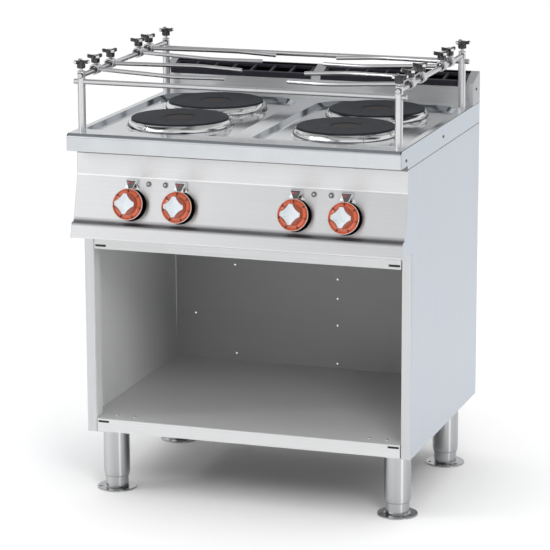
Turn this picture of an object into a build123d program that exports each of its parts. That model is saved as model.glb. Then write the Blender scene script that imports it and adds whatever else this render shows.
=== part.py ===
"""Free-standing electric range for ships: four round hot plates over an open cabinet, with sea rails.

Millimetres. +Z is up, the front faces -Y, +X is to the right seen from the front.
The origin lies on the floor, at the middle of the range's outline.
"""
import os
from math import atan2, cos, radians, sin, tan

from build123d import *

# Overall size
WIDTH = 800.0
DEPTH = 706.0
TOP_HEIGHT = 892.0
CABINET_BOTTOM = 154.0
CABINET_SET_BACK = 96.0

# Sheet metal
SHEET = 1.5
TOP_SHEET = 2.0
BEND_RADIUS = 3.0
CLEARANCE = 0.3
RUNNING = 0.1
EDGE_BREAK = 1.0
ROD_EDGE_BREAK = 0.8

# Worktop
SKIRT = 50.0
APRON = 41.0
BULLNOSE = 10.0
SKIRT_EDGE_RADIUS = 2.5
HEM = 15.0
WELL_DEPTH = 10.0
WELL_FRONT = 66.0
WELL_REAR = 78.0
WELL_SIDE = 17.0
WELL_DIVIDER = 50.0
WELL_FRONT_RADIUS = 20.0
WELL_REAR_RADIUS = 80.0
WELL_EDGE_RADIUS = 2.0
WELL_SLOPE = 45.0

# Hot plates
PLATE_FRONT_GAP = 45.0
PLATE_MIDDLE_GAP = 24.0
PLATE_REAR_GAP = 33.0
PLATE_EDGE = 4.0
PLATE_CHAMFER = 1.5
PLATE_BODY_DEPTH = 22.0
PLATE_RIM = 8.0
PLATE_RECESS_DIAMETER = 72.0
PLATE_RECESS = 1.5
RING_HEIGHT = 18.0
RING_FLARE = 7.0
RING_FLANGE = 2.0
RING_SHEET = 1.2
RING_LIP = 6.0
RING_BULGE = 1.6
STUD_DIAMETER = 10.0
STUD_LENGTH = 26.0
CLAMP_WIDTH = 30.0
CLAMP_THICKNESS = 4.0
CLAMP_FOOT = 12.0
NUT_ACROSS_FLATS = 17.0
NUT_HEIGHT = 8.0

# Rear upstand and flue grilles
UPSTAND_DEPTH = 66.0
UPSTAND_FRONT_HEIGHT = 55.0
UPSTAND_REAR_HEIGHT = 76.0
UPSTAND_LAND = 6.0
UPSTAND_SEPARATOR = 26.0
UPSTAND_CHEEK = 20.0
GRILLE_DROP = 8.0
GRILLE_THICKNESS = 6.0
GRILLE_TILT = 9.5
GRILLE_LEDGE = 8.0
GRILLE_LIP_THICKNESS = 4.0
GRILLE_SLOTS = 7
GRILLE_RIB = 6.0
GRILLE_BORDER = 8.0
GRILLE_SLOT_RADIUS = 3.0
GRILLE_RIM_RADIUS = 2.0

# Control panel
PANEL_SET_BACK = 62.0
PANEL_TOP_OVERLAP = 20.0
PANEL_TOP_FLANGE = 15.0
FOLD_DROP = 56.0
BAND_HEIGHT = 105.5
BAND_TILT = 15.1
LEDGE_DEPTH = 12.5
LEDGE_DROP = 2.0
LIP_HEIGHT = 35.5
LIP_LEAN = 10.0
LIP_RADIUS = 4.0
TROUGH_RADIUS = 6.0
FOLD_RADIUS = 3.0

# Control knobs, lamps and switches
KNOB_OVERHANG = 6.0
KNOB_DROP = 63.0
KNOB_PAIR_CENTRE = 200.0
KNOB_PAIR_PITCH = 120.0
KNOB_DIAMETER = 73.5
KNOB_BASE_DIAMETER = 60.0
KNOB_STANDOFF = 4.0
KNOB_HEIGHT = 22.0
KNOB_RIM = 6.0
KNOB_RING_WIDTH = 11.25
KNOB_UNDERCUT = 3.0
KNOB_GRIP_TIP = 24.5
KNOB_GRIP_FLANK = 17.5
KNOB_GRIP_COLLAR = 0.5
KNOB_HOLLOW_RADIUS = 40.0
SHAFT_DIAMETER = 6.0
BEZEL_DIAMETER = 76.0
BEZEL_THICKNESS = 3.0
INDEX_WIDTH = 38.0
INDEX_TOP_WIDTH = 27.0
INDEX_FACE_WIDTH = 10.0
INDEX_FACE_DROP = 4.0
INDEX_REACH = 61.0
INDEX_DEPTH = 13.0
INDEX_ROOT = 2.0
LAMP_DROP = 14.0
LAMP_OFFSET = 39.5
LAMP_DIAMETER = 10.0
LAMP_BEZEL_DIAMETER = 14.0
LAMP_BEZEL_HEIGHT = 2.5
LAMP_LENGTH = 22.0
LENS_RISE = 2.0
SWITCH_SIZE = 42.0
SWITCH_DEPTH = 34.0
SWITCH_BACK = 4.0

# Cabinet
FLANGE = 24.0
FLANGE_RETURN = 38.0
REAR_FLANGE = 22.0
BASE_FLANGE = 62.0
TOP_FLANGE = 15.0
FLOOR_HEIGHT = 34.0
RAIL_HEIGHT = 41.0
RAIL_FLANGE = 30.0
TRAY_GAP = 1.0
SLOT_LENGTH = 28.0
SLOT_HEIGHT = 5.5
SLOT_EDGE = 8.0
BUSH_DEPTH = 10.0
BUSH_HEIGHT = 10.0
LOUVRE_LENGTH = 70.0
LOUVRE_HEIGHT = 5.0
LOUVRE_PITCH_X = 120.0
LOUVRE_PITCH_Z = 16.0
LOUVRE_COLUMNS = 4
LOUVRE_ROWS = 3
LOUVRE_DROP = 70.0

# Legs
LEG_INSET = 48.0
LEG_FRONT = 160.0
LEG_REAR = 112.0
LEG_DIAMETER = 63.0
LEG_WALL = 2.0
LEG_PLATE = 86.0
LEG_PLATE_THICKNESS = 4.0
LEG_PLATE_RADIUS = 8.0
LEG_CRIMP = 1.8
LEG_CRIMP_HEIGHT = 10.0
FOOT_NECK = 32.0
FOOT_INSIDE = 62.0
FOOT_FLANGE_DIAMETER = 96.0
FOOT_FLANGE_THICKNESS = 4.0
FOOT_WALL = 3.0
FOOT_WELD = 3.0
FOOT_BOLT_CIRCLE = 79.0
FOOT_BOLT_HOLE = 8.5
FOOT_BOLTS = 3

# Sea rails
RAIL_DIAMETER = 12.0
POST_DIAMETER = 18.0
POST_INSET = 20.0
POST_FRONT = 50.0
POST_REAR = 100.0
CROSS_RAIL_HEIGHT = 113.5
SIDE_RAIL_LIFT = 14.0
POST_ABOVE_RAIL = 11.5
POST_SPIGOT_DIAMETER = 10.0
POST_SPIGOT_LENGTH = 14.0
RAIL_OVERHANG = 9.0
SIDE_RAIL_OVERHANG = 1.0
POST_HOLE_SLACK = 2.6

# Pan holder arms
ARM_FROM_FRONT_POST = (88.0, 182.0)
ARM_FROM_REAR_POST = (190.0, 120.0)
SLEEVE_DIAMETER = 25.0
SLEEVE_BORE = 18.0
SLEEVE_LENGTH = 24.0
ROD_DIAMETER = 10.0
ROD_REACH = 303.0
ROD_BEND_AT = 195.0
ROD_BEND_ANGLE = 22.5
ROD_BEND_RADIUS = 150.0
ROD_DROOP = 3.0

# Hand knobs
STAR_STUD_DIAMETER = 8.0
STAR_HUB_DIAMETER = 20.5
STAR_HUB_HEIGHT = 18.0
STAR_FLUTE_RADIUS = 2.5
STAR_FLUTE_DEPTH = 1.0
STAR_RADIUS = 21.5
STAR_ARM_WIDTH = 9.5
STAR_ARM_THICKNESS = 6.5
STAR_ARM_RISE = 2.0
STAR_TIP_RADIUS = 2.4
STAR_CAP_DIAMETER = 12.0
STAR_CAP_HEIGHT = 1.0
STAR_GAP = 2.0
STAR_ARMS = 3
ARM_KNOB_TURN = 68.0
POST_KNOB_TURN = 0.0

# Fittings
SCREW_DIAMETER = 8.0
SCREW_HEAD = 2.2
SCREW_SHANK_DIAMETER = 4.0
SCREW_SHANK = 6.0
SCREW_CHEEK_HEIGHT = 36.0
SCREW_CHEEK_INSET = 33.0
SCREW_SKIRT_DROP = 28.0
SCREW_SKIRT_INSETS = (43.0, 364.0)
SCREW_FLOOR_INSET = 32.0
SCREW_FLANGE_INSETS = (85.0, 40.0)
GLAND_DIAMETER = 25.0
GLAND_LENGTH = 20.0
GLAND_BORE = 14.0
GLAND_THREAD_DIAMETER = 20.0
GLAND_FLANGE = 5.0
GLAND_NUT_HEIGHT = 6.0
GLAND_INSET = 32.0
TERMINAL_DEPTH = 34.0
TERMINAL_HEIGHT = 30.0
TERMINAL_BASE = 14.0
TERMINAL_PITCH = 17.0
TERMINAL_RIB = 3.0
TERMINAL_WAYS = 5
TERMINAL_SIDE_INSET = 150.0
TERMINAL_INSET = 90.0
BACK_HOLE_DIAMETER = 4.5
BACK_HOLES = (
    (-236.0, 440.0), (-233.0, 207.0), (-344.0, 306.0),
    (38.0, 420.0), (38.0, 370.0), (38.0, 300.0), (38.0, 200.0))

# Places worked out from the sizes above
FRONT = (KNOB_OVERHANG - DEPTH) / 2
REAR = FRONT + DEPTH
SIDE = WIDTH / 2
SKIRT_BOTTOM = TOP_HEIGHT - SKIRT
CABINET_FRONT = FRONT + CABINET_SET_BACK
BAND_TOP_Y = FRONT + PANEL_SET_BACK
FOLD_Z = SKIRT_BOTTOM - FOLD_DROP
BAND_END_Y = BAND_TOP_Y - BAND_HEIGHT * tan(radians(BAND_TILT))
BAND_END_Z = FOLD_Z - BAND_HEIGHT
LIP_TOP_Y = BAND_END_Y - LEDGE_DEPTH
LIP_TOP_Z = BAND_END_Z - LEDGE_DROP
LIP_BOTTOM_Y = LIP_TOP_Y - LIP_LEAN
PANEL_BOTTOM = LIP_TOP_Z - LIP_HEIGHT
INNER_SIDE = SIDE - SHEET
FLANGE_EDGE = SIDE - FLANGE
FLOOR_TOP = CABINET_BOTTOM + FLOOR_HEIGHT
BACK_FACE = REAR - 2 * SHEET
WELL_FLOOR = TOP_HEIGHT - WELL_DEPTH
WELL_OUTER_X = SIDE - WELL_SIDE
WELL_INNER_X = WELL_DIVIDER / 2
WELL_FRONT_Y = FRONT + WELL_FRONT
WELL_REAR_Y = REAR - WELL_REAR
RING_TOP = WELL_FLOOR + RING_HEIGHT
PLATE_TOP = RING_TOP + PLATE_EDGE
PLATE_DIAMETER = (WELL_REAR_Y - WELL_FRONT_Y - PLATE_FRONT_GAP - PLATE_MIDDLE_GAP - PLATE_REAR_GAP) / 2
PLATE_RADIUS = PLATE_DIAMETER / 2
PLATE_X = (WELL_INNER_X + WELL_OUTER_X) / 2
PLATE_Y = (WELL_FRONT_Y + PLATE_FRONT_GAP + PLATE_RADIUS, WELL_REAR_Y - PLATE_REAR_GAP - PLATE_RADIUS)
RING_INNER = PLATE_RADIUS - RING_LIP
RING_SHOULDER = PLATE_RADIUS + 2 * RING_SHEET
RING_OUTER = RING_SHOULDER + RING_FLARE + RING_FLANGE
PLATE_BODY_RADIUS = RING_INNER - CLEARANCE
PLATE_BOTTOM = PLATE_TOP - PLATE_BODY_DEPTH
PLATE_HOLE_RADIUS = RING_SHOULDER
UPSTAND_FRONT_Y = REAR - UPSTAND_DEPTH
CROSS_RAIL_Z = TOP_HEIGHT + CROSS_RAIL_HEIGHT
SIDE_RAIL_Z = CROSS_RAIL_Z + SIDE_RAIL_LIFT
POST_TOP = SIDE_RAIL_Z + POST_ABOVE_RAIL
POST_X = SIDE - POST_INSET
POST_Y = (FRONT + POST_FRONT, REAR - POST_REAR)
ARM_Y = [POST_Y[0] + inset for inset in ARM_FROM_FRONT_POST]
ARM_Y += [POST_Y[1] - inset for inset in ARM_FROM_REAR_POST]
RAIL_RADIUS = RAIL_DIAMETER / 2
SLEEVE_Z = SIDE_RAIL_Z + SLEEVE_BORE / 2 - RAIL_RADIUS - CLEARANCE
SLEEVE_TOP = SLEEVE_Z + SLEEVE_DIAMETER / 2
STAR_BASE = max(SLEEVE_TOP, POST_TOP) + STAR_GAP
STUD_TIP = SIDE_RAIL_Z + RAIL_RADIUS + CLEARANCE
LEG_X = SIDE - LEG_INSET
LEG_Y = (FRONT + LEG_FRONT, REAR - LEG_REAR)
LEG_INNER_RADIUS = LEG_DIAMETER / 2 - LEG_WALL
FOOT_RADIUS = LEG_INNER_RADIUS - LEG_CRIMP - RUNNING
KNOB_Z = FOLD_Z - KNOB_DROP
KNOB_FACE = KNOB_STANDOFF + KNOB_HEIGHT
KNOB_TOP = (
    PANEL_SET_BACK + KNOB_OVERHANG - KNOB_DROP * tan(radians(BAND_TILT))
    - KNOB_GRIP_TIP * sin(radians(BAND_TILT))) / cos(radians(BAND_TILT))
KNOB_X = [
    side * (KNOB_PAIR_CENTRE + offset * KNOB_PAIR_PITCH / 2)
    for side, offset in ((-1, 1), (-1, -1), (1, -1), (1, 1))
]
LAMP_X = [
    side * (KNOB_PAIR_CENTRE + offset * (KNOB_PAIR_PITCH / 2 - LAMP_OFFSET))
    for side, offset in ((-1, 1), (-1, -1), (1, -1), (1, 1))
]
PLATE_PLACES = [
    (name, side * PLATE_X, PLATE_Y[depth])
    for name, side, depth in (
        ("front_left", -1, 0), ("front_right", 1, 0), ("rear_left", -1, 1), ("rear_right", 1, 1))
]
GLAND_PLACE = ((SIDE - BASE_FLANGE + FLANGE_EDGE - 2 * SHEET) / 2, REAR - GLAND_INSET)
SCREW_PLACES = [
    place for side in (-1, 1) for place in (
        [((side * SIDE, REAR - SCREW_CHEEK_INSET, TOP_HEIGHT + SCREW_CHEEK_HEIGHT), (side, 0, 0))]
        + [((side * SIDE, FRONT + inset, TOP_HEIGHT - SCREW_SKIRT_DROP), (side, 0, 0))
           for inset in SCREW_SKIRT_INSETS]
        + [((side * (FLANGE_EDGE - inset), CABINET_FRONT + SCREW_FLOOR_INSET, FLOOR_TOP), (0, 0, 1))
           for inset in SCREW_FLANGE_INSETS])
]
CORNERS = [
    ("front_left", -1, 0), ("front_right", 1, 0), ("rear_left", -1, 1), ("rear_right", 1, 1),
]

BOTTOM = (Align.CENTER, Align.CENTER, Align.MIN)
TOP = (Align.CENTER, Align.CENTER, Align.MAX)


def block(x0, x1, y0, y1, z0, z1):
    """A box between two corners."""
    size = Box(abs(x1 - x0), abs(y1 - y0), abs(z1 - z0))
    return Pos((x0 + x1) / 2, (y0 + y1) / 2, (z0 + z1) / 2) * size


def rod(diameter, start, end):
    """A round bar from one point to another."""
    axis = Vector(*end) - Vector(*start)
    plane = Plane(origin=start, z_dir=axis)
    return extrude(plane * Circle(diameter / 2), amount=axis.length)


def turned(points):
    """A solid of revolution about Z from (radius, height) points."""
    outline = Polyline(*[(r, 0, z) for r, z in points], close=True)
    return revolve(make_face(outline), axis=Axis.Z)


def prism_x(points, x0, x1):
    """A prism along X from (y, z) points."""
    face = make_face(Polyline(*[(x0, y, z) for y, z in points], close=True))
    return extrude(face, amount=x1 - x0, dir=(1, 0, 0))


def bent_sheet(points, radii, thickness, length):
    """A folded sheet: its outer line in the local XY plane, thickened to the left of it, along local Z."""
    line = FilletPolyline(*points, radius=radii)
    outline = offset(line, amount=thickness, side=Side.LEFT)
    return extrude(make_face(outline.edges()), amount=length)


def band_plane(x, drop):
    """The plane of the control panel's tilted band, with its local Y up the band and Z out of it."""
    y = BAND_TOP_Y - drop * tan(radians(BAND_TILT))
    tilt = radians(BAND_TILT)
    return Plane(origin=(x, y, FOLD_Z - drop), x_dir=(1, 0, 0), z_dir=(0, -cos(tilt), sin(tilt)))


def drilled(sheet, places):
    """A sheet with clearance holes for the screws at the places given."""
    for place, direction in places:
        hole = Cylinder(SCREW_SHANK_DIAMETER / 2 + RUNNING, 2 * SCREW_SHANK)
        sheet -= Plane(origin=place, z_dir=direction) * hole
    return sheet


def well_pocket(side, grow, top, depth):
    """The pressed hollow round two plates, as the solid that it takes out of the worktop."""
    x0, x1 = WELL_INNER_X - grow, WELL_OUTER_X + grow
    y0, y1 = WELL_FRONT_Y - grow, WELL_REAR_Y + grow
    face = make_face(Polyline((x0, y0), (x1, y0), (x1, y1), (x0, y1), close=True))
    rear = [v for v in face.vertices() if v.Y > 0]
    face = fillet(rear, WELL_REAR_RADIUS + grow)
    front = [v for v in face.vertices() if v.Y < y0 + 1]
    face = fillet(front, WELL_FRONT_RADIUS + grow)
    pocket = extrude(Pos(0, 0, top) * face, amount=depth, dir=(0, 0, -1), taper=WELL_SLOPE)
    return pocket if side > 0 else mirror(pocket, about=Plane.YZ)


def worktop():
    """Pressed worktop with two wells, a rounded front edge and skirts folded down all round."""
    outer = block(-SIDE, SIDE, FRONT, REAR, SKIRT_BOTTOM, TOP_HEIGHT)
    top_edges = outer.edges().filter_by_position(Axis.Z, TOP_HEIGHT, TOP_HEIGHT)
    front_edge = top_edges.sort_by(Axis.Y)[0]
    outer = fillet(front_edge, BULLNOSE)
    side_edges = [
        edge for edge in outer.edges().filter_by(Axis.Y)
        if abs(edge.center().Z - TOP_HEIGHT) < 1e-6
    ]
    outer = fillet(side_edges, SKIRT_EDGE_RADIUS)
    for side in (-1, 1):
        outer -= well_pocket(side, 0, TOP_HEIGHT, WELL_DEPTH)
    well_edges = [
        edge for edge in outer.edges()
        if abs(edge.center().Z - TOP_HEIGHT) < 1e-6
        and abs(edge.center().X) < WELL_OUTER_X + 1
        and WELL_FRONT_Y - 1 < edge.center().Y < WELL_REAR_Y + 1
    ]
    outer = fillet(well_edges, WELL_EDGE_RADIUS)

    inner_top = TOP_HEIGHT - TOP_SHEET
    inner = block(
        -SIDE + TOP_SHEET, SIDE - TOP_SHEET, FRONT + TOP_SHEET, REAR - TOP_SHEET,
        SKIRT_BOTTOM - 1, inner_top)
    inner_front = inner.edges().filter_by_position(Axis.Z, inner_top, inner_top).sort_by(Axis.Y)[0]
    inner = fillet(inner_front, BULLNOSE - TOP_SHEET)
    for side in (-1, 1):
        inner -= well_pocket(side, TOP_SHEET, inner_top, WELL_DEPTH)
    sheet = outer - inner

    for side in (-1, 1):
        hem_in, hem_out = side * (SIDE - HEM), side * (SIDE - TOP_SHEET / 2)
        sheet += block(hem_in, hem_out, BAND_TOP_Y + SHEET + CLEARANCE, REAR - TOP_SHEET / 2,
                       SKIRT_BOTTOM, SKIRT_BOTTOM + TOP_SHEET)
    sheet -= block(-SIDE - 1, SIDE + 1, FRONT - 1, BAND_TOP_Y,
                   SKIRT_BOTTOM - 1, TOP_HEIGHT - APRON)
    for _, x, y in PLATE_PLACES:
        sheet -= Pos(x, y, WELL_FLOOR + 1) * Cylinder(PLATE_HOLE_RADIUS, 2 * WELL_DEPTH)
    for _, side, depth in CORNERS:
        place = Pos(side * POST_X, POST_Y[depth], TOP_HEIGHT)
        sheet -= place * Cylinder(POST_SPIGOT_DIAMETER / 2 + RUNNING, 4 * TOP_SHEET)
    return drilled(sheet, [place for place in SCREW_PLACES if SKIRT_BOTTOM < place[0][2] < TOP_HEIGHT])


def hot_plate(x, y):
    """Cast-iron plate with a shallow middle recess, a hollow underside and a fixing stud."""
    recess_r = PLATE_RECESS_DIAMETER / 2
    hollow_r = PLATE_BODY_RADIUS - PLATE_RIM
    boss_r = STUD_DIAMETER
    web = PLATE_TOP - PLATE_BODY_DEPTH / 2
    stud_end = PLATE_BOTTOM - STUD_LENGTH
    plate = turned([
        (0, PLATE_TOP - PLATE_RECESS), (recess_r, PLATE_TOP - PLATE_RECESS),
        (recess_r + PLATE_RECESS, PLATE_TOP), (PLATE_RADIUS - PLATE_CHAMFER, PLATE_TOP),
        (PLATE_RADIUS, PLATE_TOP - PLATE_CHAMFER), (PLATE_RADIUS, RING_TOP),
        (PLATE_BODY_RADIUS, RING_TOP), (PLATE_BODY_RADIUS, PLATE_BOTTOM),
        (hollow_r, PLATE_BOTTOM), (hollow_r, web), (boss_r, web), (boss_r, PLATE_BOTTOM),
        (STUD_DIAMETER / 2, PLATE_BOTTOM), (STUD_DIAMETER / 2, stud_end), (0, stud_end)])
    return Pos(x, y, 0) * plate


def spill_ring(x, y):
    """Flared stainless ring between a plate's rim and the floor of the well."""
    foot_out = RING_SHOULDER + RING_FLARE
    mid_r = (foot_out + RING_SHOULDER) / 2 + RING_BULGE
    mid_z = (WELL_FLOOR + RING_TOP) / 2 + RING_BULGE
    top_in = RING_TOP - RING_SHEET
    outer = ThreePointArc(
        (foot_out, 0, WELL_FLOOR + RING_SHEET), (mid_r, 0, mid_z), (RING_SHOULDER, 0, RING_TOP))
    inner = ThreePointArc(
        (RING_SHOULDER - RING_SHEET / 2, 0, top_in),
        (mid_r - RING_SHEET, 0, mid_z - RING_SHEET), (foot_out - RING_SHEET, 0, WELL_FLOOR))
    cap = Polyline(
        outer @ 1, (RING_INNER, 0, RING_TOP), (RING_INNER, 0, top_in), inner @ 0)
    flange = Polyline(
        inner @ 1, (RING_OUTER, 0, WELL_FLOOR), (RING_OUTER, 0, WELL_FLOOR + RING_SHEET), outer @ 0)
    face = make_face([*outer.edges(), *cap.edges(), *inner.edges(), *flange.edges()])
    return Pos(x, y, 0) * revolve(face, axis=Axis.Z)


def plate_clamp(x, y):
    """Bridge bar under a plate, with the nut that draws the plate down on the worktop."""
    seat = WELL_FLOOR - TOP_SHEET
    reach = PLATE_HOLE_RADIUS + CLAMP_FOOT
    bar_top = PLATE_BOTTOM - CLAMP_THICKNESS
    bar_bottom = bar_top - CLAMP_THICKNESS
    inner = reach - CLAMP_FOOT / 2
    outline = [
        (-reach, seat), (-inner, seat), (-inner, bar_top), (inner, bar_top), (inner, seat),
        (reach, seat), (reach, bar_bottom), (-reach, bar_bottom)]
    face = make_face(Polyline(*[(px, 0, pz) for px, pz in outline], close=True))
    bar = extrude(face, amount=CLAMP_WIDTH / 2, dir=(0, 1, 0), both=True)
    hole = Pos(0, 0, bar_bottom) * Cylinder(STUD_DIAMETER / 2 + RUNNING, 4 * CLAMP_THICKNESS)
    nut = extrude(RegularPolygon(NUT_ACROSS_FLATS / 2, 6, major_radius=False), amount=-NUT_HEIGHT)
    nut = Pos(0, 0, bar_bottom) * nut
    place = Pos(x, y, 0)
    return [place * (bar - hole), place * (nut - hole)]


def heating_element(x, y):
    """Ring of heating wire in ceramic cement that fills the hollow of a plate."""
    outer, inner = PLATE_BODY_RADIUS - PLATE_RIM - CLEARANCE, STUD_DIAMETER + CLEARANCE
    web = PLATE_TOP - PLATE_BODY_DEPTH / 2
    low = PLATE_BOTTOM + PLATE_RECESS
    return Pos(x, y, 0) * turned([(inner, low), (outer, low), (outer, web), (inner, web)])


def post_nut(side, depth):
    """Nut under the worktop on a post's spigot."""
    nut = extrude(RegularPolygon(NUT_ACROSS_FLATS / 2, 6, major_radius=False), amount=-NUT_HEIGHT)
    nut -= Cylinder(POST_SPIGOT_DIAMETER / 2 + RUNNING, 4 * NUT_HEIGHT)
    return Pos(side * POST_X, POST_Y[depth], TOP_HEIGHT - TOP_SHEET) * nut


def upstand_outline(inset):
    """The upstand's (y, z) outline, drawn in by a sheet thickness where inset is given."""
    front, rear = UPSTAND_FRONT_Y + inset, REAR - inset
    drop = inset / cos(atan2(UPSTAND_REAR_HEIGHT - UPSTAND_FRONT_HEIGHT, UPSTAND_DEPTH))
    base = TOP_HEIGHT - (1 if inset else 0)
    return [
        (front, base), (front, TOP_HEIGHT + UPSTAND_FRONT_HEIGHT - drop),
        (rear - UPSTAND_LAND, TOP_HEIGHT + UPSTAND_REAR_HEIGHT - drop),
        (rear, TOP_HEIGHT + UPSTAND_REAR_HEIGHT - drop), (rear, base)]


def grille_span(side):
    """The two X limits of a flue grille."""
    return sorted((side * UPSTAND_SEPARATOR / 2, side * (SIDE - UPSTAND_CHEEK)))


def grille_under(y):
    """Height of a grille's underside at a depth."""
    return TOP_HEIGHT + UPSTAND_FRONT_HEIGHT + (y - UPSTAND_FRONT_Y) * tan(radians(GRILLE_TILT))


def upstand():
    """Hollow rear upstand whose sloping top is open for the two grilles, with a ledge behind each."""
    body = prism_x(upstand_outline(0), -SIDE, SIDE)
    body -= prism_x(upstand_outline(SHEET), -SIDE + SHEET, SIDE - SHEET)
    front, rear = UPSTAND_FRONT_Y - 1, REAR - UPSTAND_LAND
    high = TOP_HEIGHT + 2 * UPSTAND_REAR_HEIGHT
    ledge_front = rear - GRILLE_LEDGE
    ledge = [
        (ledge_front, grille_under(ledge_front)), (REAR - SHEET, grille_under(REAR - SHEET)),
        (REAR - SHEET, grille_under(REAR - SHEET) - SHEET), (ledge_front, grille_under(ledge_front) - SHEET)]
    for side in (-1, 1):
        x0, x1 = grille_span(side)
        opening = [(front, grille_under(front)), (rear, grille_under(rear)), (rear, high), (front, high)]
        body -= prism_x(opening, x0, x1)
        body += prism_x(ledge, x0, x1)
    return drilled(body, [place for place in SCREW_PLACES if place[0][2] > TOP_HEIGHT])


def flue_grille(side):
    """Cast-iron grille with a front lip that hooks over the upstand and slots between cross ribs."""
    x0, x1 = grille_span(side)
    x0, x1 = x0 + CLEARANCE, x1 - CLEARANCE
    width = x1 - x0
    lip_front = UPSTAND_FRONT_Y - GRILLE_LIP_THICKNESS
    rear = REAR - UPSTAND_LAND - CLEARANCE
    thick = GRILLE_THICKNESS / cos(radians(GRILLE_TILT))
    seat = grille_under(UPSTAND_FRONT_Y)
    section = [
        (lip_front, seat - GRILLE_DROP), (lip_front, grille_under(lip_front) + thick),
        (rear, grille_under(rear) + thick), (rear, grille_under(rear)),
        (UPSTAND_FRONT_Y, seat), (UPSTAND_FRONT_Y, seat - GRILLE_DROP)]
    grille = prism_x(section, x0, x1)
    nose = [
        edge for edge in grille.edges().filter_by(Axis.X)
        if edge.center().Y < lip_front + 1 and edge.center().Z > TOP_HEIGHT + UPSTAND_FRONT_HEIGHT
    ]
    grille = fillet(nose, GRILLE_RIM_RADIUS)
    pitch = (width - 2 * GRILLE_BORDER + GRILLE_RIB) / GRILLE_SLOTS
    slot_front = UPSTAND_FRONT_Y + GRILLE_LIP_THICKNESS
    slot_rear = rear - GRILLE_LEDGE
    slot = RectangleRounded(pitch - GRILLE_RIB, slot_rear - slot_front, GRILLE_SLOT_RADIUS)
    slots = [
        Pos((x0 + x1) / 2 + (i - (GRILLE_SLOTS - 1) / 2) * pitch, (slot_front + slot_rear) / 2) * slot
        for i in range(GRILLE_SLOTS)
    ]
    cutter = extrude(Pos(0, 0, TOP_HEIGHT) * Sketch(slots), amount=2 * UPSTAND_REAR_HEIGHT)
    return grille - cutter


def panel_line():
    """Outer (y, z) points of the control panel from its top edge down to the cabinet, with bend radii."""
    points = [
        (BAND_TOP_Y, SKIRT_BOTTOM + PANEL_TOP_OVERLAP), (BAND_TOP_Y, FOLD_Z),
        (BAND_END_Y, BAND_END_Z), (LIP_TOP_Y, LIP_TOP_Z), (LIP_BOTTOM_Y, PANEL_BOTTOM),
        (CABINET_FRONT + SHEET, PANEL_BOTTOM)]
    return points, [FOLD_RADIUS, TROUGH_RADIUS, LIP_RADIUS, LIP_RADIUS]


def control_panel():
    """Folded front panel: upper band, tilted knob band, trough and a projecting lip."""
    points, radii = panel_line()
    top_y, top_z = points[0]
    points = [(top_y + PANEL_TOP_FLANGE, top_z)] + points
    plane = Plane(origin=(-INNER_SIDE, 0, 0), x_dir=(0, 1, 0), z_dir=(1, 0, 0))
    panel = plane * bent_sheet(points, [BEND_RADIUS] + radii, SHEET, 2 * INNER_SIDE)
    for side in (-1, 1):
        inside_skirt = side * (SIDE - TOP_SHEET - CLEARANCE)
        panel -= block(inside_skirt, side * (SIDE + 1), FRONT, CABINET_FRONT, SKIRT_BOTTOM, TOP_HEIGHT)
    for x in KNOB_X:
        panel -= band_plane(x, KNOB_DROP) * Cylinder(SHAFT_DIAMETER, 8 * SHEET)
    for x in LAMP_X:
        panel -= band_plane(x, LAMP_DROP) * Cylinder(LAMP_DIAMETER / 2 + RUNNING, 8 * SHEET)
    return panel


def control_knob(x):
    """Round knob with a raised grip that four leaning hollows make square, on its switch shaft."""
    radius = KNOB_DIAMETER / 2
    base = KNOB_BASE_DIAMETER / 2
    neck = KNOB_FACE - KNOB_RIM
    shaft = SHAFT_DIAMETER / 2
    shaft_end = -SHEET - SWITCH_DEPTH / 2
    foot = radius - KNOB_RING_WIDTH
    body = turned([
        (0, shaft_end), (shaft, shaft_end), (shaft, KNOB_STANDOFF), (base, KNOB_STANDOFF),
        (radius - KNOB_UNDERCUT, neck), (radius, neck), (radius, KNOB_FACE - EDGE_BREAK),
        (radius - EDGE_BREAK, KNOB_FACE), (foot, KNOB_FACE), (KNOB_GRIP_TIP, KNOB_TOP), (0, KNOB_TOP)])
    rise = KNOB_TOP - KNOB_FACE
    lean = atan2(foot + KNOB_GRIP_COLLAR - KNOB_GRIP_FLANK, rise)
    axis = Plane(
        origin=(KNOB_GRIP_FLANK + KNOB_HOLLOW_RADIUS / cos(lean), 0, KNOB_TOP),
        z_dir=(-sin(lean), 0, cos(lean)))
    hollow = axis * Cylinder(KNOB_HOLLOW_RADIUS, 4 * KNOB_HOLLOW_RADIUS)
    hollow &= Pos(0, 0, KNOB_FACE) * Cylinder(KNOB_DIAMETER, 2 * rise, align=BOTTOM)
    for k in range(4):
        body -= Rot(0, 0, 45 + 90 * k) * hollow
    return band_plane(x, KNOB_DROP) * body


def index_bezel(x):
    """Ring behind a knob, with the raised index block above it."""
    ring = turned([
        (SHAFT_DIAMETER, 0), (BEZEL_DIAMETER / 2, 0), (BEZEL_DIAMETER / 2 - EDGE_BREAK, BEZEL_THICKNESS),
        (SHAFT_DIAMETER, BEZEL_THICKNESS)])
    low = BEZEL_DIAMETER / 2 - INDEX_ROOT
    foot = Polyline(
        (-INDEX_WIDTH / 2, low), (INDEX_WIDTH / 2, low), (INDEX_TOP_WIDTH / 2, INDEX_REACH),
        (-INDEX_TOP_WIDTH / 2, INDEX_REACH), close=True)
    face = Polyline(
        (-INDEX_FACE_WIDTH / 2, low), (INDEX_FACE_WIDTH / 2, low),
        (INDEX_TOP_WIDTH / 2, INDEX_REACH - INDEX_FACE_DROP),
        (-INDEX_TOP_WIDTH / 2, INDEX_REACH - INDEX_FACE_DROP), close=True)
    index = loft([make_face(foot), Pos(0, 0, INDEX_DEPTH) * make_face(face)], ruled=True)
    index -= Cylinder(low, 4 * INDEX_DEPTH)
    return band_plane(x, KNOB_DROP) * (ring + index)


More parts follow.
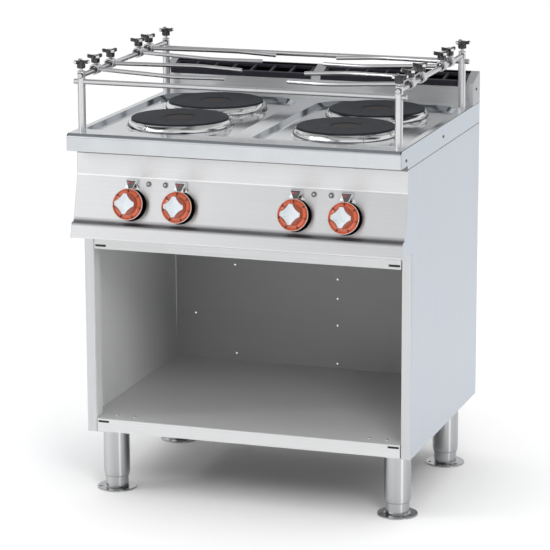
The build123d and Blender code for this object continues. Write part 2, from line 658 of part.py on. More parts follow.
def pilot_lamp(x):
    """Small round lamp through the panel with a domed lens."""
    lens = LAMP_DIAMETER / 2 - EDGE_BREAK
    bezel = LAMP_BEZEL_DIAMETER / 2
    lamp = turned([
        (0, SHEET - LAMP_LENGTH), (LAMP_DIAMETER / 2, SHEET - LAMP_LENGTH), (LAMP_DIAMETER / 2, 0),
        (bezel, 0), (bezel - EDGE_BREAK, LAMP_BEZEL_HEIGHT), (lens, LAMP_BEZEL_HEIGHT),
        (lens * 0.7, LAMP_BEZEL_HEIGHT + LENS_RISE * 0.7), (0, LAMP_BEZEL_HEIGHT + LENS_RISE)])
    return band_plane(x, LAMP_DROP) * lamp


def rotary_switch(x):
    """Seven-position switch body behind the panel, bored for the knob's shaft."""
    body = Pos(0, 0, -SHEET) * Box(SWITCH_SIZE, SWITCH_SIZE, SWITCH_DEPTH, align=TOP)
    upright = body.edges().filter_by(Axis.Z)
    body = fillet(upright, BEND_RADIUS)
    body -= Pos(0, 0, -SHEET) * Cylinder(SHAFT_DIAMETER / 2 + RUNNING, 2 * (SWITCH_DEPTH - SWITCH_BACK))
    return band_plane(x, KNOB_DROP) * body


def side_panel(side):
    """Side sheet with a boxed front edge, folded rear and base flanges and a contoured top part."""
    section = [
        (FLANGE_EDGE, CABINET_FRONT + FLANGE_RETURN), (FLANGE_EDGE, CABINET_FRONT),
        (SIDE, CABINET_FRONT), (SIDE, REAR), (SIDE - REAR_FLANGE, REAR)]
    height = PANEL_BOTTOM - CABINET_BOTTOM
    lower = Pos(0, 0, CABINET_BOTTOM) * bent_sheet(section, [BEND_RADIUS] * 3, SHEET, height)

    line, radii = panel_line()
    contour = [(line[0][0], SKIRT_BOTTOM)] + line[1:-1] + [(REAR, PANEL_BOTTOM), (REAR, SKIRT_BOTTOM)]
    face = make_face(Polyline(*[(INNER_SIDE, y, z) for y, z in contour], close=True))
    for (y, z), radius in zip(line[1:-1], radii):
        corner = face.vertices().sort_by_distance((INNER_SIDE, y, z))[0]
        face = fillet(corner, radius)
    upper = extrude(face, amount=SHEET, dir=(1, 0, 0))
    upper += block(SIDE - REAR_FLANGE, SIDE, REAR - SHEET, REAR, PANEL_BOTTOM, SKIRT_BOTTOM)
    upper += block(SIDE - TOP_FLANGE, SIDE, BAND_TOP_Y + BEND_RADIUS, REAR,
                   SKIRT_BOTTOM - SHEET, SKIRT_BOTTOM)
    panel = lower + upper
    panel += block(SIDE - BASE_FLANGE, SIDE - SHEET / 2, CABINET_FRONT + SHEET / 2, REAR - SHEET / 2,
                   CABINET_BOTTOM, CABINET_BOTTOM + SHEET)
    if side < 0:
        return mirror(panel, about=Plane.YZ)
    gland = Cylinder(GLAND_THREAD_DIAMETER / 2 + RUNNING, 4 * SHEET)
    return panel - Pos(*GLAND_PLACE, CABINET_BOTTOM) * gland


def back_panel():
    """Flat back with rows of cooling slots."""
    bottom, top = CABINET_BOTTOM + SHEET, SKIRT_BOTTOM - SHEET
    half = INNER_SIDE - BEND_RADIUS
    back = block(-half, half, BACK_FACE, BACK_FACE + SHEET, bottom, top)
    slot = SlotOverall(LOUVRE_LENGTH, LOUVRE_HEIGHT)
    slots = [
        Pos((column - (LOUVRE_COLUMNS - 1) / 2) * LOUVRE_PITCH_X,
            SKIRT_BOTTOM - LOUVRE_DROP - row * LOUVRE_PITCH_Z) * slot
        for column in range(LOUVRE_COLUMNS) for row in range(LOUVRE_ROWS)
    ]
    holes = [Pos(x, z) * Circle(BACK_HOLE_DIAMETER / 2) for x, z in BACK_HOLES]
    plane = Plane(origin=(0, BACK_FACE, 0), x_dir=(1, 0, 0), z_dir=(0, -1, 0))
    return back - extrude(plane * Sketch(slots + holes), amount=3 * SHEET, both=True)


def slot_places():
    """Centres of the four hinge slots on the front of the cabinet."""
    x = FLANGE_EDGE - 2 * SHEET - SLOT_LENGTH / 2 - CLEARANCE
    low = FLOOR_TOP - SLOT_EDGE
    high = PANEL_BOTTOM - RAIL_HEIGHT + SLOT_EDGE
    return [(side * x, z) for side in (-1, 1) for z in (low, high)]


def slot_cutter(x, z):
    """The cut for one hinge slot through a front sheet."""
    plane = Plane(origin=(x, CABINET_FRONT, z), x_dir=(1, 0, 0), z_dir=(0, -1, 0))
    return extrude(plane * SlotOverall(SLOT_LENGTH, SLOT_HEIGHT), amount=2 * SHEET, both=True)


def cabinet_floor():
    """Cabinet floor as an inverted tray whose rims stand on the base flanges."""
    half = FLANGE_EDGE - SHEET
    base = CABINET_BOTTOM + SHEET
    front = CABINET_FRONT
    floor = block(-half, half, front, BACK_FACE, base, FLOOR_TOP)
    upper = [
        edge for edge in floor.edges().filter_by(Axis.X)
        if edge.center().Y < front + 1 and edge.center().Z > FLOOR_TOP - 1
    ]
    floor = fillet(upper, BEND_RADIUS)
    floor -= block(-half + SHEET, half - SHEET, front + SHEET, BACK_FACE - SHEET,
                   base - 1, FLOOR_TOP - SHEET)
    for side in (-1, 1):
        floor += block(side * half, side * INNER_SIDE, front + FLANGE_RETURN + CLEARANCE, BACK_FACE,
                       FLOOR_TOP - SHEET, FLOOR_TOP)
    for x, z in slot_places():
        if z < PANEL_BOTTOM / 2:
            floor -= slot_cutter(x, z)
    return drilled(floor, [place for place in SCREW_PLACES if place[0][2] < SKIRT_BOTTOM])


def cabinet_top_rail():
    """Front rail over the cabinet's mouth, folded back at the top."""
    half = FLANGE_EDGE - SHEET
    section = [
        (CABINET_FRONT, PANEL_BOTTOM - RAIL_HEIGHT),
        (CABINET_FRONT, PANEL_BOTTOM), (CABINET_FRONT + RAIL_FLANGE, PANEL_BOTTOM)]
    plane = Plane(origin=(half, 0, 0), x_dir=(0, 1, 0), z_dir=(1, 0, 0))
    section = [(y, z) for y, z in reversed(section)]
    rail = plane * bent_sheet(section, [BEND_RADIUS], SHEET, -2 * half)
    for x, z in slot_places():
        if z > PANEL_BOTTOM / 2:
            rail -= slot_cutter(x, z)
    return rail


def hinge_bush(x, z):
    """Dark bush behind a hinge slot, for the pivot of a door that can be added."""
    behind = CABINET_FRONT + SHEET
    return block(x - SLOT_LENGTH / 2, x + SLOT_LENGTH / 2, behind, behind + BUSH_DEPTH,
                 z - SLOT_HEIGHT / 2, z + SLOT_HEIGHT / 2)


def wiring_tray():
    """Sheet between the cabinet and the wiring space over it."""
    level = PANEL_BOTTOM + SHEET
    return block(-INNER_SIDE + TRAY_GAP / 2, INNER_SIDE - TRAY_GAP / 2, CABINET_FRONT, BACK_FACE,
                 level, level + SHEET)


def rail_post(side, depth):
    """Round post with crossing rail holes, a threaded top and a spigot through the worktop."""
    x, y = side * POST_X, POST_Y[depth]
    post = Pos(x, y, TOP_HEIGHT) * Cylinder(POST_DIAMETER / 2, POST_TOP - TOP_HEIGHT, align=BOTTOM)
    rim = post.edges().sort_by(Axis.Z)[-1]
    post = chamfer(rim, EDGE_BREAK)
    post += Pos(x, y, TOP_HEIGHT) * Cylinder(POST_SPIGOT_DIAMETER / 2, POST_SPIGOT_LENGTH, align=TOP)
    reach = POST_DIAMETER
    post -= rod(RAIL_DIAMETER, (x - reach, y, CROSS_RAIL_Z), (x + reach, y, CROSS_RAIL_Z))
    hole = RAIL_DIAMETER + POST_HOLE_SLACK
    lift = SIDE_RAIL_Z + POST_HOLE_SLACK / 2 - CLEARANCE
    post -= rod(hole, (x, y - reach, lift), (x, y + reach, lift))
    post -= Pos(x, y, SIDE_RAIL_Z) * Cylinder(
        STAR_STUD_DIAMETER / 2 + RUNNING, 2 * POST_ABOVE_RAIL, align=BOTTOM)
    return post


def cross_rail(depth):
    """Fixed bar through the two posts at the front or the rear."""
    reach = POST_X + POST_DIAMETER / 2 + RAIL_OVERHANG
    y = POST_Y[depth]
    bar = rod(RAIL_DIAMETER, (-reach, y, CROSS_RAIL_Z), (reach, y, CROSS_RAIL_Z))
    ends = bar.edges().filter_by(GeomType.CIRCLE)
    return chamfer(ends, ROD_EDGE_BREAK)


def side_rail(side):
    """Bar along one side that carries the pan holder arms."""
    reach = POST_DIAMETER / 2 + SIDE_RAIL_OVERHANG
    x = side * POST_X
    bar = rod(RAIL_DIAMETER, (x, POST_Y[0] - reach, SIDE_RAIL_Z), (x, POST_Y[1] + reach, SIDE_RAIL_Z))
    ends = bar.edges().filter_by(GeomType.CIRCLE)
    return chamfer(ends, ROD_EDGE_BREAK)


def pan_arm(side, index):
    """Sleeve on the side rail with a bent rod welded to it, reaching in over the plates.

    The rods of a pair are bent opposite ways, so that two of them cradle a pan.
    """
    y = ARM_Y[index]
    first, second = (0.0, ROD_BEND_ANGLE) if index % 2 == 0 else (ROD_BEND_ANGLE, 0.0)
    start = SLEEVE_BORE / 2 + EDGE_BREAK
    bend = ROD_BEND_AT
    bend_y = (bend - start) * tan(radians(first))
    end_y = bend_y + (ROD_REACH - bend) * tan(radians(second))
    path = FilletPolyline(
        (start, 0, 0), (bend, bend_y, 0), (ROD_REACH, end_y, 0), radius=ROD_BEND_RADIUS)
    section = Plane(origin=path @ 0, z_dir=path % 0) * Circle(ROD_DIAMETER / 2)
    bar = sweep(section, path=path)
    tip = bar.edges().filter_by(GeomType.CIRCLE).sort_by(Axis.X)[-1]
    bar = chamfer(tip, ROD_EDGE_BREAK)
    bar = Rot(0, ROD_DROOP, 0) * bar

    tube = Rot(90, 0, 0) * Cylinder(SLEEVE_DIAMETER / 2, SLEEVE_LENGTH)
    tube = chamfer(tube.edges().filter_by(GeomType.CIRCLE), ROD_EDGE_BREAK)
    arm = tube + bar
    arm -= Rot(90, 0, 0) * Cylinder(SLEEVE_BORE / 2, 2 * SLEEVE_LENGTH)
    arm -= Cylinder(STAR_STUD_DIAMETER / 2 + RUNNING, SLEEVE_DIAMETER, align=BOTTOM)
    arm = Pos(-POST_X, y, SLEEVE_Z) * arm
    return arm if side < 0 else mirror(arm, about=Plane.YZ)


def star_knob(x, y, turn):
    """Three-armed hand knob with a fluted hub and its threaded stud."""
    hub_r = STAR_HUB_DIAMETER / 2
    stud_r = STAR_STUD_DIAMETER / 2
    cap_r = STAR_CAP_DIAMETER / 2
    top = STAR_BASE + STAR_HUB_HEIGHT
    knob = turned([
        (0, STUD_TIP), (stud_r, STUD_TIP), (stud_r, STAR_BASE), (hub_r - EDGE_BREAK, STAR_BASE),
        (hub_r, STAR_BASE + EDGE_BREAK), (hub_r, top),
        (cap_r, top + STAR_CAP_HEIGHT), (0, top + STAR_CAP_HEIGHT)])
    low = top - STAR_ARM_THICKNESS
    flute = Cylinder(STAR_FLUTE_RADIUS, low - STAR_BASE, align=BOTTOM)
    for k in range(2 * STAR_ARMS):
        reach = hub_r + STAR_FLUTE_RADIUS - STAR_FLUTE_DEPTH
        knob -= Rot(0, 0, turn + (k + 0.5) * 180 / STAR_ARMS) * Pos(reach, 0, STAR_BASE) * flute
    wing = [
        (0, low), (hub_r, low), (STAR_RADIUS, low + STAR_ARM_RISE), (STAR_RADIUS, top + STAR_ARM_RISE),
        (hub_r, top), (0, top)]
    face = make_face(Polyline(*[(r, 0, z) for r, z in wing], close=True))
    arm = extrude(face, amount=STAR_ARM_WIDTH / 2, dir=(0, 1, 0), both=True)
    arm = fillet(arm.edges().filter_by(Axis.Z).group_by(Axis.X)[-1], STAR_TIP_RADIUS)
    for k in range(STAR_ARMS):
        knob += Rot(0, 0, turn + k * 360 / STAR_ARMS) * arm
    return Pos(x, y, 0) * knob


def leg_tube(side, depth):
    """Leg tube with its top plate and a drawn-in lower end."""
    outer, inner = LEG_DIAMETER / 2, LEG_INNER_RADIUS
    top = CABINET_BOTTOM - LEG_PLATE_THICKNESS
    tube = turned([
        (outer - LEG_CRIMP, FOOT_NECK), (outer, FOOT_NECK + LEG_CRIMP_HEIGHT), (outer, top), (inner, top),
        (inner, FOOT_NECK + LEG_CRIMP_HEIGHT), (inner - LEG_CRIMP, FOOT_NECK)])
    plate = Pos(0, 0, top) * Box(LEG_PLATE, LEG_PLATE, LEG_PLATE_THICKNESS, align=BOTTOM)
    plate = fillet(plate.edges().filter_by(Axis.Z), LEG_PLATE_RADIUS)
    return Pos(side * LEG_X, LEG_Y[depth], 0) * (tube + plate)


def levelling_foot(side, depth):
    """Foot that slides in the leg tube, with a round flange for bolting to a deck."""
    flange_r = FOOT_FLANGE_DIAMETER / 2
    flange = FOOT_FLANGE_THICKNESS
    top = FOOT_NECK + FOOT_INSIDE
    inner = FOOT_RADIUS - FOOT_WALL
    foot = turned([
        (0, 0), (flange_r, 0), (flange_r, flange - EDGE_BREAK), (flange_r - EDGE_BREAK, flange),
        (FOOT_RADIUS + FOOT_WELD, flange), (FOOT_RADIUS, flange + FOOT_WELD), (FOOT_RADIUS, top),
        (inner, top), (inner, flange), (0, flange)])
    for k in range(FOOT_BOLTS):
        hole = Pos(FOOT_BOLT_CIRCLE / 2, 0, 0) * Cylinder(FOOT_BOLT_HOLE / 2, 4 * flange)
        foot -= Rot(0, 0, 90 + k * 360 / FOOT_BOLTS) * hole
    return Pos(side * LEG_X, LEG_Y[depth], 0) * foot


def terminal_block():
    """Mains terminal block with ribs between its ways, on the wiring tray."""
    width = TERMINAL_WAYS * TERMINAL_PITCH + TERMINAL_RIB
    body = Box(width, TERMINAL_DEPTH, TERMINAL_BASE, align=BOTTOM)
    for k in range(TERMINAL_WAYS + 1):
        rib = Box(TERMINAL_RIB, TERMINAL_DEPTH, TERMINAL_HEIGHT, align=BOTTOM)
        body += Pos((k - TERMINAL_WAYS / 2) * TERMINAL_PITCH, 0, 0) * rib
    for k in range(TERMINAL_WAYS):
        x = (k + 0.5 - TERMINAL_WAYS / 2) * TERMINAL_PITCH
        body -= Pos(x, 0, TERMINAL_BASE) * Cylinder(TERMINAL_PITCH / 4, TERMINAL_BASE)
    return Pos(SIDE - TERMINAL_SIDE_INSET, REAR - TERMINAL_INSET, PANEL_BOTTOM + 2 * SHEET) * body


def cable_gland():
    """Cable gland through the base flange at the rear right, with its locknut inside."""
    thread, bore, dome = GLAND_THREAD_DIAMETER / 2, GLAND_BORE / 2, GLAND_DIAMETER / 2
    flange = dome + SHEET
    end = GLAND_NUT_HEIGHT + 2 * SHEET
    body = turned([
        (bore, -GLAND_LENGTH), (bore + SHEET, -GLAND_LENGTH), (dome, -GLAND_LENGTH / 2),
        (dome, -GLAND_FLANGE), (flange, -GLAND_FLANGE), (flange, 0), (thread, 0), (thread, end), (bore, end)])
    nut = extrude(RegularPolygon(dome, 6, major_radius=False), amount=GLAND_NUT_HEIGHT)
    nut = Pos(0, 0, SHEET) * (nut - Cylinder(thread + RUNNING, 4 * GLAND_NUT_HEIGHT))
    place = Pos(*GLAND_PLACE, CABINET_BOTTOM)
    return [place * body, place * nut]


def dome_screw(place, direction):
    """Dome-headed screw whose head sits on a face at a place, pointing out along a direction."""
    head = SCREW_DIAMETER / 2
    shank = SCREW_SHANK_DIAMETER / 2
    screw = turned([
        (0, -SCREW_SHANK), (shank, -SCREW_SHANK), (shank, 0), (head, 0), (head * 0.9, SCREW_HEAD * 0.5),
        (head * 0.6, SCREW_HEAD * 0.9), (0, SCREW_HEAD)])
    return Plane(origin=place, z_dir=direction) * screw


def export(name, *solids):
    """Writes one node as its own file."""
    shape = solids[0] if len(solids) == 1 else Compound(list(solids))
    export_step(shape, f"parts/{name}.step")


def main():
    os.makedirs("parts", exist_ok=True)
    export("worktop", worktop())
    export("upstand", upstand())
    export("control_panel", control_panel())
    export("back_panel", back_panel())
    export("cabinet_floor", cabinet_floor())
    export("cabinet_top_rail", cabinet_top_rail())
    export("wiring_tray", wiring_tray())
    for name, side in (("left", -1), ("right", 1)):
        export(f"side_panel_{name}", side_panel(side))
        export(f"flue_grille_{name}", flue_grille(side))
        export(f"side_rail_{name}", side_rail(side))
        for index in range(len(ARM_Y)):
            export(f"pan_arm_{name}_{index + 1}", pan_arm(side, index))
            knob = star_knob(side * POST_X, ARM_Y[index], ARM_KNOB_TURN)
            export(f"arm_knob_{name}_{index + 1}", knob)
    for name, depth in (("front", 0), ("rear", 1)):
        export(f"cross_rail_{name}", cross_rail(depth))
    for name, x, y in PLATE_PLACES:
        export(f"hot_plate_{name}", hot_plate(x, y))
    export("spill_rings", *[spill_ring(x, y) for _, x, y in PLATE_PLACES])
    export("plate_clamps", *[solid for _, x, y in PLATE_PLACES for solid in plate_clamp(x, y)])
    for number, x in enumerate(KNOB_X, 1):
        export(f"control_knob_{number}", control_knob(x))
    export("index_bezels", *[index_bezel(x) for x in KNOB_X])
    export("rotary_switches", *[rotary_switch(x) for x in KNOB_X])
    export("pilot_lamps", *[pilot_lamp(x) for x in LAMP_X])
    export("heating_elements", *[heating_element(x, y) for _, x, y in PLATE_PLACES])
    export("post_nuts", *[post_nut(side, depth) for _, side, depth in CORNERS])
    export("terminal_block", terminal_block())
    export("cable_gland", *cable_gland())
    export("panel_screws", *[dome_screw(place, direction) for place, direction in SCREW_PLACES])
    export("hinge_bushes", *[hinge_bush(x, z) for x, z in slot_places()])
    export("rail_posts", *[rail_post(side, depth) for _, side, depth in CORNERS])
    export("leg_tubes", *[leg_tube(side, depth) for _, side, depth in CORNERS])
    for name, side, depth in CORNERS:
        export(f"post_knob_{name}", star_knob(side * POST_X, POST_Y[depth], POST_KNOB_TURN))
        export(f"levelling_foot_{name}", levelling_foot(side, depth))


main()
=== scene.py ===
"""Looks of the ship's electric range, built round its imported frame."""
from math import atan2, cos, pi, radians, sin, sqrt, tan

import bpy
from mathutils import Matrix, Vector


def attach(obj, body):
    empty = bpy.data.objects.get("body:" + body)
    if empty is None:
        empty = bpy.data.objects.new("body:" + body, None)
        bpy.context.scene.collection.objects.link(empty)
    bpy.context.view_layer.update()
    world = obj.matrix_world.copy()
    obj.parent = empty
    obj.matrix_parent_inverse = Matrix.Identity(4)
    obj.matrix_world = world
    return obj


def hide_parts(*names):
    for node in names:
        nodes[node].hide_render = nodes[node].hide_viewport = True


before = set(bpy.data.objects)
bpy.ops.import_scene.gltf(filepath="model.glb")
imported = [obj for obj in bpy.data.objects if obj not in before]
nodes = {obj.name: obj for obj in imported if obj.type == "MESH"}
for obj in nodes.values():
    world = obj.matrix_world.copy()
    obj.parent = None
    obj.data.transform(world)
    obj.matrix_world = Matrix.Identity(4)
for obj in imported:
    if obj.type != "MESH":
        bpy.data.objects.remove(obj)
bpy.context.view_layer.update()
scene = bpy.context.scene

# Sizes shared with the part's source, in metres
BAND_TILT = radians(15.1)
BAND_TOP_Y = -0.288
FOLD_Z = 0.786
KNOB_DROP = 0.063
KNOB_X = (-0.260, -0.140, 0.140, 0.260)
KNOB_RADIUS = 0.03675
BEZEL_RADIUS = 0.0384
KNOB_FACE = 0.026
KNOB_TOP = 0.0462
GRIP_FOOT = 0.0255
GRIP_TIP = 0.0245
GRIP_FLANK = 0.0175
GRIP_COLLAR = 0.0005
HOLLOW_RADIUS = 0.040
LAMP_DROP = 0.014
LAMP_X = (-0.2205, -0.1795, 0.1795, 0.2205)
INDEX_LOW = 0.036
INDEX_REACH = 0.061
INDEX_DEPTH = 0.013
INDEX_TOP_WIDTH = 0.027
INDEX_FACE_WIDTH = 0.010
INDEX_FACE_DROP = 0.004
POST_X = 0.380
POST_Y = {"front": -0.300, "rear": 0.256}
ARM_Y = (-0.212, -0.118, 0.066, 0.136)
SLEEVE_Z = 1.0222
SLEEVE_RADIUS = 0.0125
ROD_RADIUS = 0.005
STAR_BASE = 1.0367
STAR_HUB_RADIUS = 0.01025
STAR_HUB_HEIGHT = 0.018
STAR_ARM_WIDTH = 0.0095
STAR_ARM_THICKNESS = 0.0065
STAR_ARM_RISE = 0.002
STUD_TIP = 1.0258
ARM_KNOB_TURN = radians(68)
POST_KNOB_TURN = 0.0
FOOT_NECK = 0.032

# Limits of the places where the materials paint shade, highlights and other tones, in metres
FLUE_FRONT_Y = 0.2908
FLUE_REAR_Y = 0.3550
FLUE_HALF_WIDTH = 0.3990
FLUE_FLOOR_Y = 0.2915
TROUGH_LOW_Z = 0.66
TROUGH_SPAN = 0.05
FOLD_HIGHLIGHT_HALF = 0.0014
APRON_SHADE_Z = 0.8364
# Bottom of the painted shadow line along the side sheets' top edge
SEAM_SHADOW_Z = 0.8398
SIDE_OUTSIDE_X = 0.3993
SKIRT_BRINK_X = 0.3970
SLEEVE_BORE_RADIUS = 0.0093
POST_HOLE_RADIUS = 0.0087
POST_HOLE_TOP = 1.0300
FLOOR_SCREW_Z = 0.3
BACK_LIGHT_Z = 0.62
BACK_LIGHT_SPAN = 0.5
JOINT_LINE = 0.002

# Names of pieces that repeat
SIDES = (("left", -1), ("right", 1))
ARMS = [f"{side}_{k}" for side, _ in SIDES for k in range(1, len(ARM_Y) + 1)]
CORNERS = [f"{end}_{side}" for end in POST_Y for side, _ in SIDES]


# Material helpers
class Tree:
    """A node tree, with short calls to add nodes to it."""

    def __init__(self, tree):
        self.tree = tree

    def node(self, kind, **settings):
        made = self.tree.nodes.new(kind)
        for key, value in settings.items():
            setattr(made, key, value)
        return made

    def link(self, source, target):
        self.tree.links.new(source, target)

    def math(self, operation, *terms):
        """One sum. Each term is a number or an output."""
        made = self.node("ShaderNodeMath", operation=operation)
        for socket, term in zip(made.inputs, terms):
            if isinstance(term, (int, float)):
                socket.default_value = term
            else:
                self.link(term, socket)
        return made.outputs[0]


class Shader(Tree):
    """A node material with a principled shader. Colours are outputs or tuples of three numbers."""

    def __init__(self, name):
        self.material = bpy.data.materials.new(name)
        self.material.use_nodes = True
        super().__init__(self.material.node_tree)
        self.principled = self.tree.nodes["Principled BSDF"]

    def set(self, **values):
        for key, value in values.items():
            self.principled.inputs[key.replace("_", " ")].default_value = value

    def feed(self, socket, output):
        self.link(output, self.principled.inputs[socket])

    def coords(self, kind="Object", scale=(1, 1, 1), shift=(0, 0, 0)):
        source = self.node("ShaderNodeTexCoord")
        mapping = self.node("ShaderNodeMapping")
        mapping.inputs["Scale"].default_value = scale
        mapping.inputs["Location"].default_value = shift
        self.link(source.outputs[kind], mapping.inputs["Vector"])
        return mapping.outputs["Vector"]

    def axes(self, kind):
        """The X, Y and Z of the Object place or of the Normal, as three outputs."""
        source = self.node("ShaderNodeTexCoord")
        parts = self.node("ShaderNodeSeparateXYZ")
        self.link(source.outputs[kind], parts.inputs[0])
        return parts.outputs[0], parts.outputs[1], parts.outputs[2]

    def size(self, value):
        return self.math("ABSOLUTE", value)

    def over(self, value, limit):
        return self.math("GREATER_THAN", value, limit)

    def under(self, value, limit):
        return self.math("LESS_THAN", value, limit)

    def unit(self, value):
        """A value from -1 to 1 brought to 0 to 1."""
        return self.math("MULTIPLY_ADD", value, 0.5, 0.5)

    def both(self, *masks):
        """1 where all the masks are 1."""
        total = masks[0]
        for mask in masks[1:]:
            total = self.math("MULTIPLY", total, mask)
        return total

    def within(self, across, along, radius):
        """1 inside a circle round the place where across and along are 0."""
        square = self.math("ADD", self.math("POWER", across, 2.0), self.math("POWER", along, 2.0))
        return self.under(square, radius ** 2)

    def noise(self, vector, scale, detail):
        made = self.node("ShaderNodeTexNoise")
        made.inputs["Scale"].default_value = scale
        made.inputs["Detail"].default_value = detail
        made.inputs["Roughness"].default_value = 0.55
        self.link(vector, made.inputs["Vector"])
        return made.outputs["Fac"]

    def ramp(self, factor, stops):
        """Colours between (place, colour) stops."""
        made = self.node("ShaderNodeValToRGB")
        elements = made.color_ramp.elements
        while len(elements) < len(stops):
            elements.new(0.5)
        for element, (place, colour) in zip(elements, stops):
            element.position = place
            element.color = (*colour, 1)
        self.link(factor, made.inputs["Fac"])
        return made.outputs["Color"]

    def mask(self, factor, stops):
        """Levels between (place, level) stops."""
        return self.ramp(factor, [(place, (level, level, level)) for place, level in stops])

    def drift(self, factor, low, high):
        """A colour that drifts from low to high over the middle of a noise."""
        return self.ramp(factor, [(0.3, low), (0.7, high)])

    def span(self, factor, low, high):
        made = self.node("ShaderNodeMapRange")
        made.inputs["To Min"].default_value = low
        made.inputs["To Max"].default_value = high
        self.link(factor, made.inputs["Value"])
        return made.outputs["Result"]

    def mix(self, factor, first, second, blend="MIX"):
        made = self.node("ShaderNodeMix", data_type="RGBA", blend_type=blend)
        for socket, value in ((made.inputs[0], factor), (made.inputs[6], first), (made.inputs[7], second)):
            if isinstance(value, tuple):
                socket.default_value = (*value, 1)
            elif isinstance(value, (int, float)):
                socket.default_value = value
            else:
                self.link(value, socket)
        return made.outputs[2]

    def bump(self, height, strength, distance):
        made = self.node("ShaderNodeBump")
        made.inputs["Strength"].default_value = strength
        made.inputs["Distance"].default_value = distance
        self.link(height, made.inputs["Height"])
        self.feed("Normal", made.outputs["Normal"])


def scaled(colour, share):
    """A colour times a share, at most 1."""
    return tuple(min(1.0, c * share) for c in colour)


def brushed_skin(shader, rough, grain):
    """Fine streaks along one axis, in the roughness and a slight bump. Returns the streaks."""
    fine = shader.noise(shader.coords(scale=grain), 1.0, 3.0)
    broad = shader.noise(shader.coords(), 6.0, 2.0)
    streaked = shader.span(fine, rough - 0.05, rough + 0.05)
    shader.feed("Roughness", shader.math("ADD", streaked, shader.span(broad, -0.03, 0.03)))
    shader.bump(fine, 0.06, 0.0004)
    return fine


def brushed(name, colour, rough, grain, streak=0.05, stretch=0.0, metallic=1.0, recolour=None):
    """Brushed sheet or bar, with streaks in its colour too.

    stretch draws reflections out up and down, as the fine grooves of sheet brushed sideways do.
    finish(shader, colour) may change the colour in places.
    """
    shader = Shader(name)
    shader.set(Metallic=metallic, Anisotropic=stretch)
    if stretch:
        upright = shader.node("ShaderNodeCombineXYZ")
        upright.inputs["Z"].default_value = 1.0
        shader.feed("Tangent", upright.outputs["Vector"])
    fine = brushed_skin(shader, rough, grain)
    tone = shader.drift(fine, scaled(colour, 1 - streak), scaled(colour, 1 + streak))
    shader.feed("Base Color", recolour(shader, tone) if recolour else tone)
    return shader.material


def folded(name, bright, satin, rough, grain, outer=None):
    """Cabinet sheet: bright on its front folds and satin inside, with painted shade on its underside.

    A sheet with an outer colour has it on its outside, and painted shade darkens it inside towards the rear.
    """
    shader = Shader(name)
    x, y, z = shader.axes("Object")
    _, facing, up = shader.axes("Normal")
    shown = shader.under(facing, -0.5)
    inner = satin
    if outer:
        # painted shade: the inside darkens towards the rear
        inner = shader.mix(shader.math("MULTIPLY", y, 3.4), satin, scaled(satin, 0.66))
    colour = shader.mix(shown, inner, bright)
    # painted shade: faces that look down are painted dark
    colour = shader.mix(shader.under(up, -0.5), colour, (0.10, 0.10, 0.10))
    if outer:
        # the outside takes the outer colour, a painted shade on the sides
        outside = shader.over(shader.size(x), SIDE_OUTSIDE_X)
        colour = shader.mix(outside, colour, outer)
        # painted shadow line along the top edge, under the worktop's skirt
        colour = shader.mix(shader.over(z, SEAM_SHADOW_Z), colour, (0.10, 0.105, 0.11))
        shown = shader.math("MAXIMUM", shown, outside)
    shade = shader.drift(brushed_skin(shader, rough, grain), (0.93, 0.93, 0.93), (1, 1, 1))
    shader.feed("Base Color", shader.mix(1.0, colour, shade, "MULTIPLY"))
    shader.feed("Metallic", shader.span(shown, 0.15, 1.0))
    return shader.material


def polished(name, colour, rough, metallic=1.0, recolour=None):
    """Polished steel with faint smears and hairline scratches. finish may change the colour in places."""
    shader = Shader(name)
    shader.set(Metallic=metallic)
    smear = shader.noise(shader.coords(), 14.0, 5.0)
    hair = shader.noise(shader.coords(scale=(900, 60, 900)), 1.0, 2.0)
    tone = shader.ramp(smear, [(0.35, scaled(colour, 0.94)), (0.65, colour)])
    shader.feed("Base Color", recolour(shader, tone) if recolour else tone)
    smeared = shader.span(smear, rough * 0.7, rough * 1.4)
    shader.feed("Roughness", shader.math("ADD", smeared, shader.span(hair, -0.015, 0.015)))
    return shader.material


def plate_iron():
    """Machined cast iron: turned rings, dark oxide and a warmer middle."""
    shader = Shader("plate_iron")
    place = shader.coords("Generated", shift=(-0.5, -0.5, 0))
    rings = shader.node("ShaderNodeTexWave", wave_type="RINGS", rings_direction="Z", wave_profile="SIN")
    rings.inputs["Scale"].default_value = 24.0
    rings.inputs["Distortion"].default_value = 0.6
    rings.inputs["Detail"].default_value = 2.0
    shader.link(place, rings.inputs["Vector"])
    spots = shader.noise(shader.coords(), 55.0, 6.0)
    blotch = shader.noise(shader.coords(), 9.0, 4.0)
    flat = shader.node("ShaderNodeVectorMath", operation="MULTIPLY")
    flat.inputs[1].default_value = (1, 1, 0)
    shader.link(place, flat.inputs[0])
    radius = shader.node("ShaderNodeVectorMath", operation="LENGTH")
    shader.link(flat.outputs[0], radius.inputs[0])
    oxide = shader.drift(blotch, (0.016, 0.019, 0.024), (0.026, 0.030, 0.037))
    warm = shader.ramp(radius.outputs["Value"], [
        (0.0, (0.055, 0.037, 0.034)), (0.12, (0.046, 0.032, 0.029)), (0.17, (0.021, 0.023, 0.028)),
        (0.5, (0.023, 0.027, 0.034))])
    shader.feed("Base Color", shader.mix(0.6, oxide, warm))
    shader.set(Specular_IOR_Level=0.12)
    wear = shader.span(rings.outputs["Fac"], -0.04, 0.04)
    shader.feed("Roughness", shader.math("ADD", shader.span(spots, 0.48, 0.62), wear))
    turned = shader.math("MULTIPLY", rings.outputs["Fac"], 0.6)
    shader.bump(shader.math("ADD", turned, shader.math("MULTIPLY", spots, 0.4)), 0.25, 0.0006)
    return shader.material


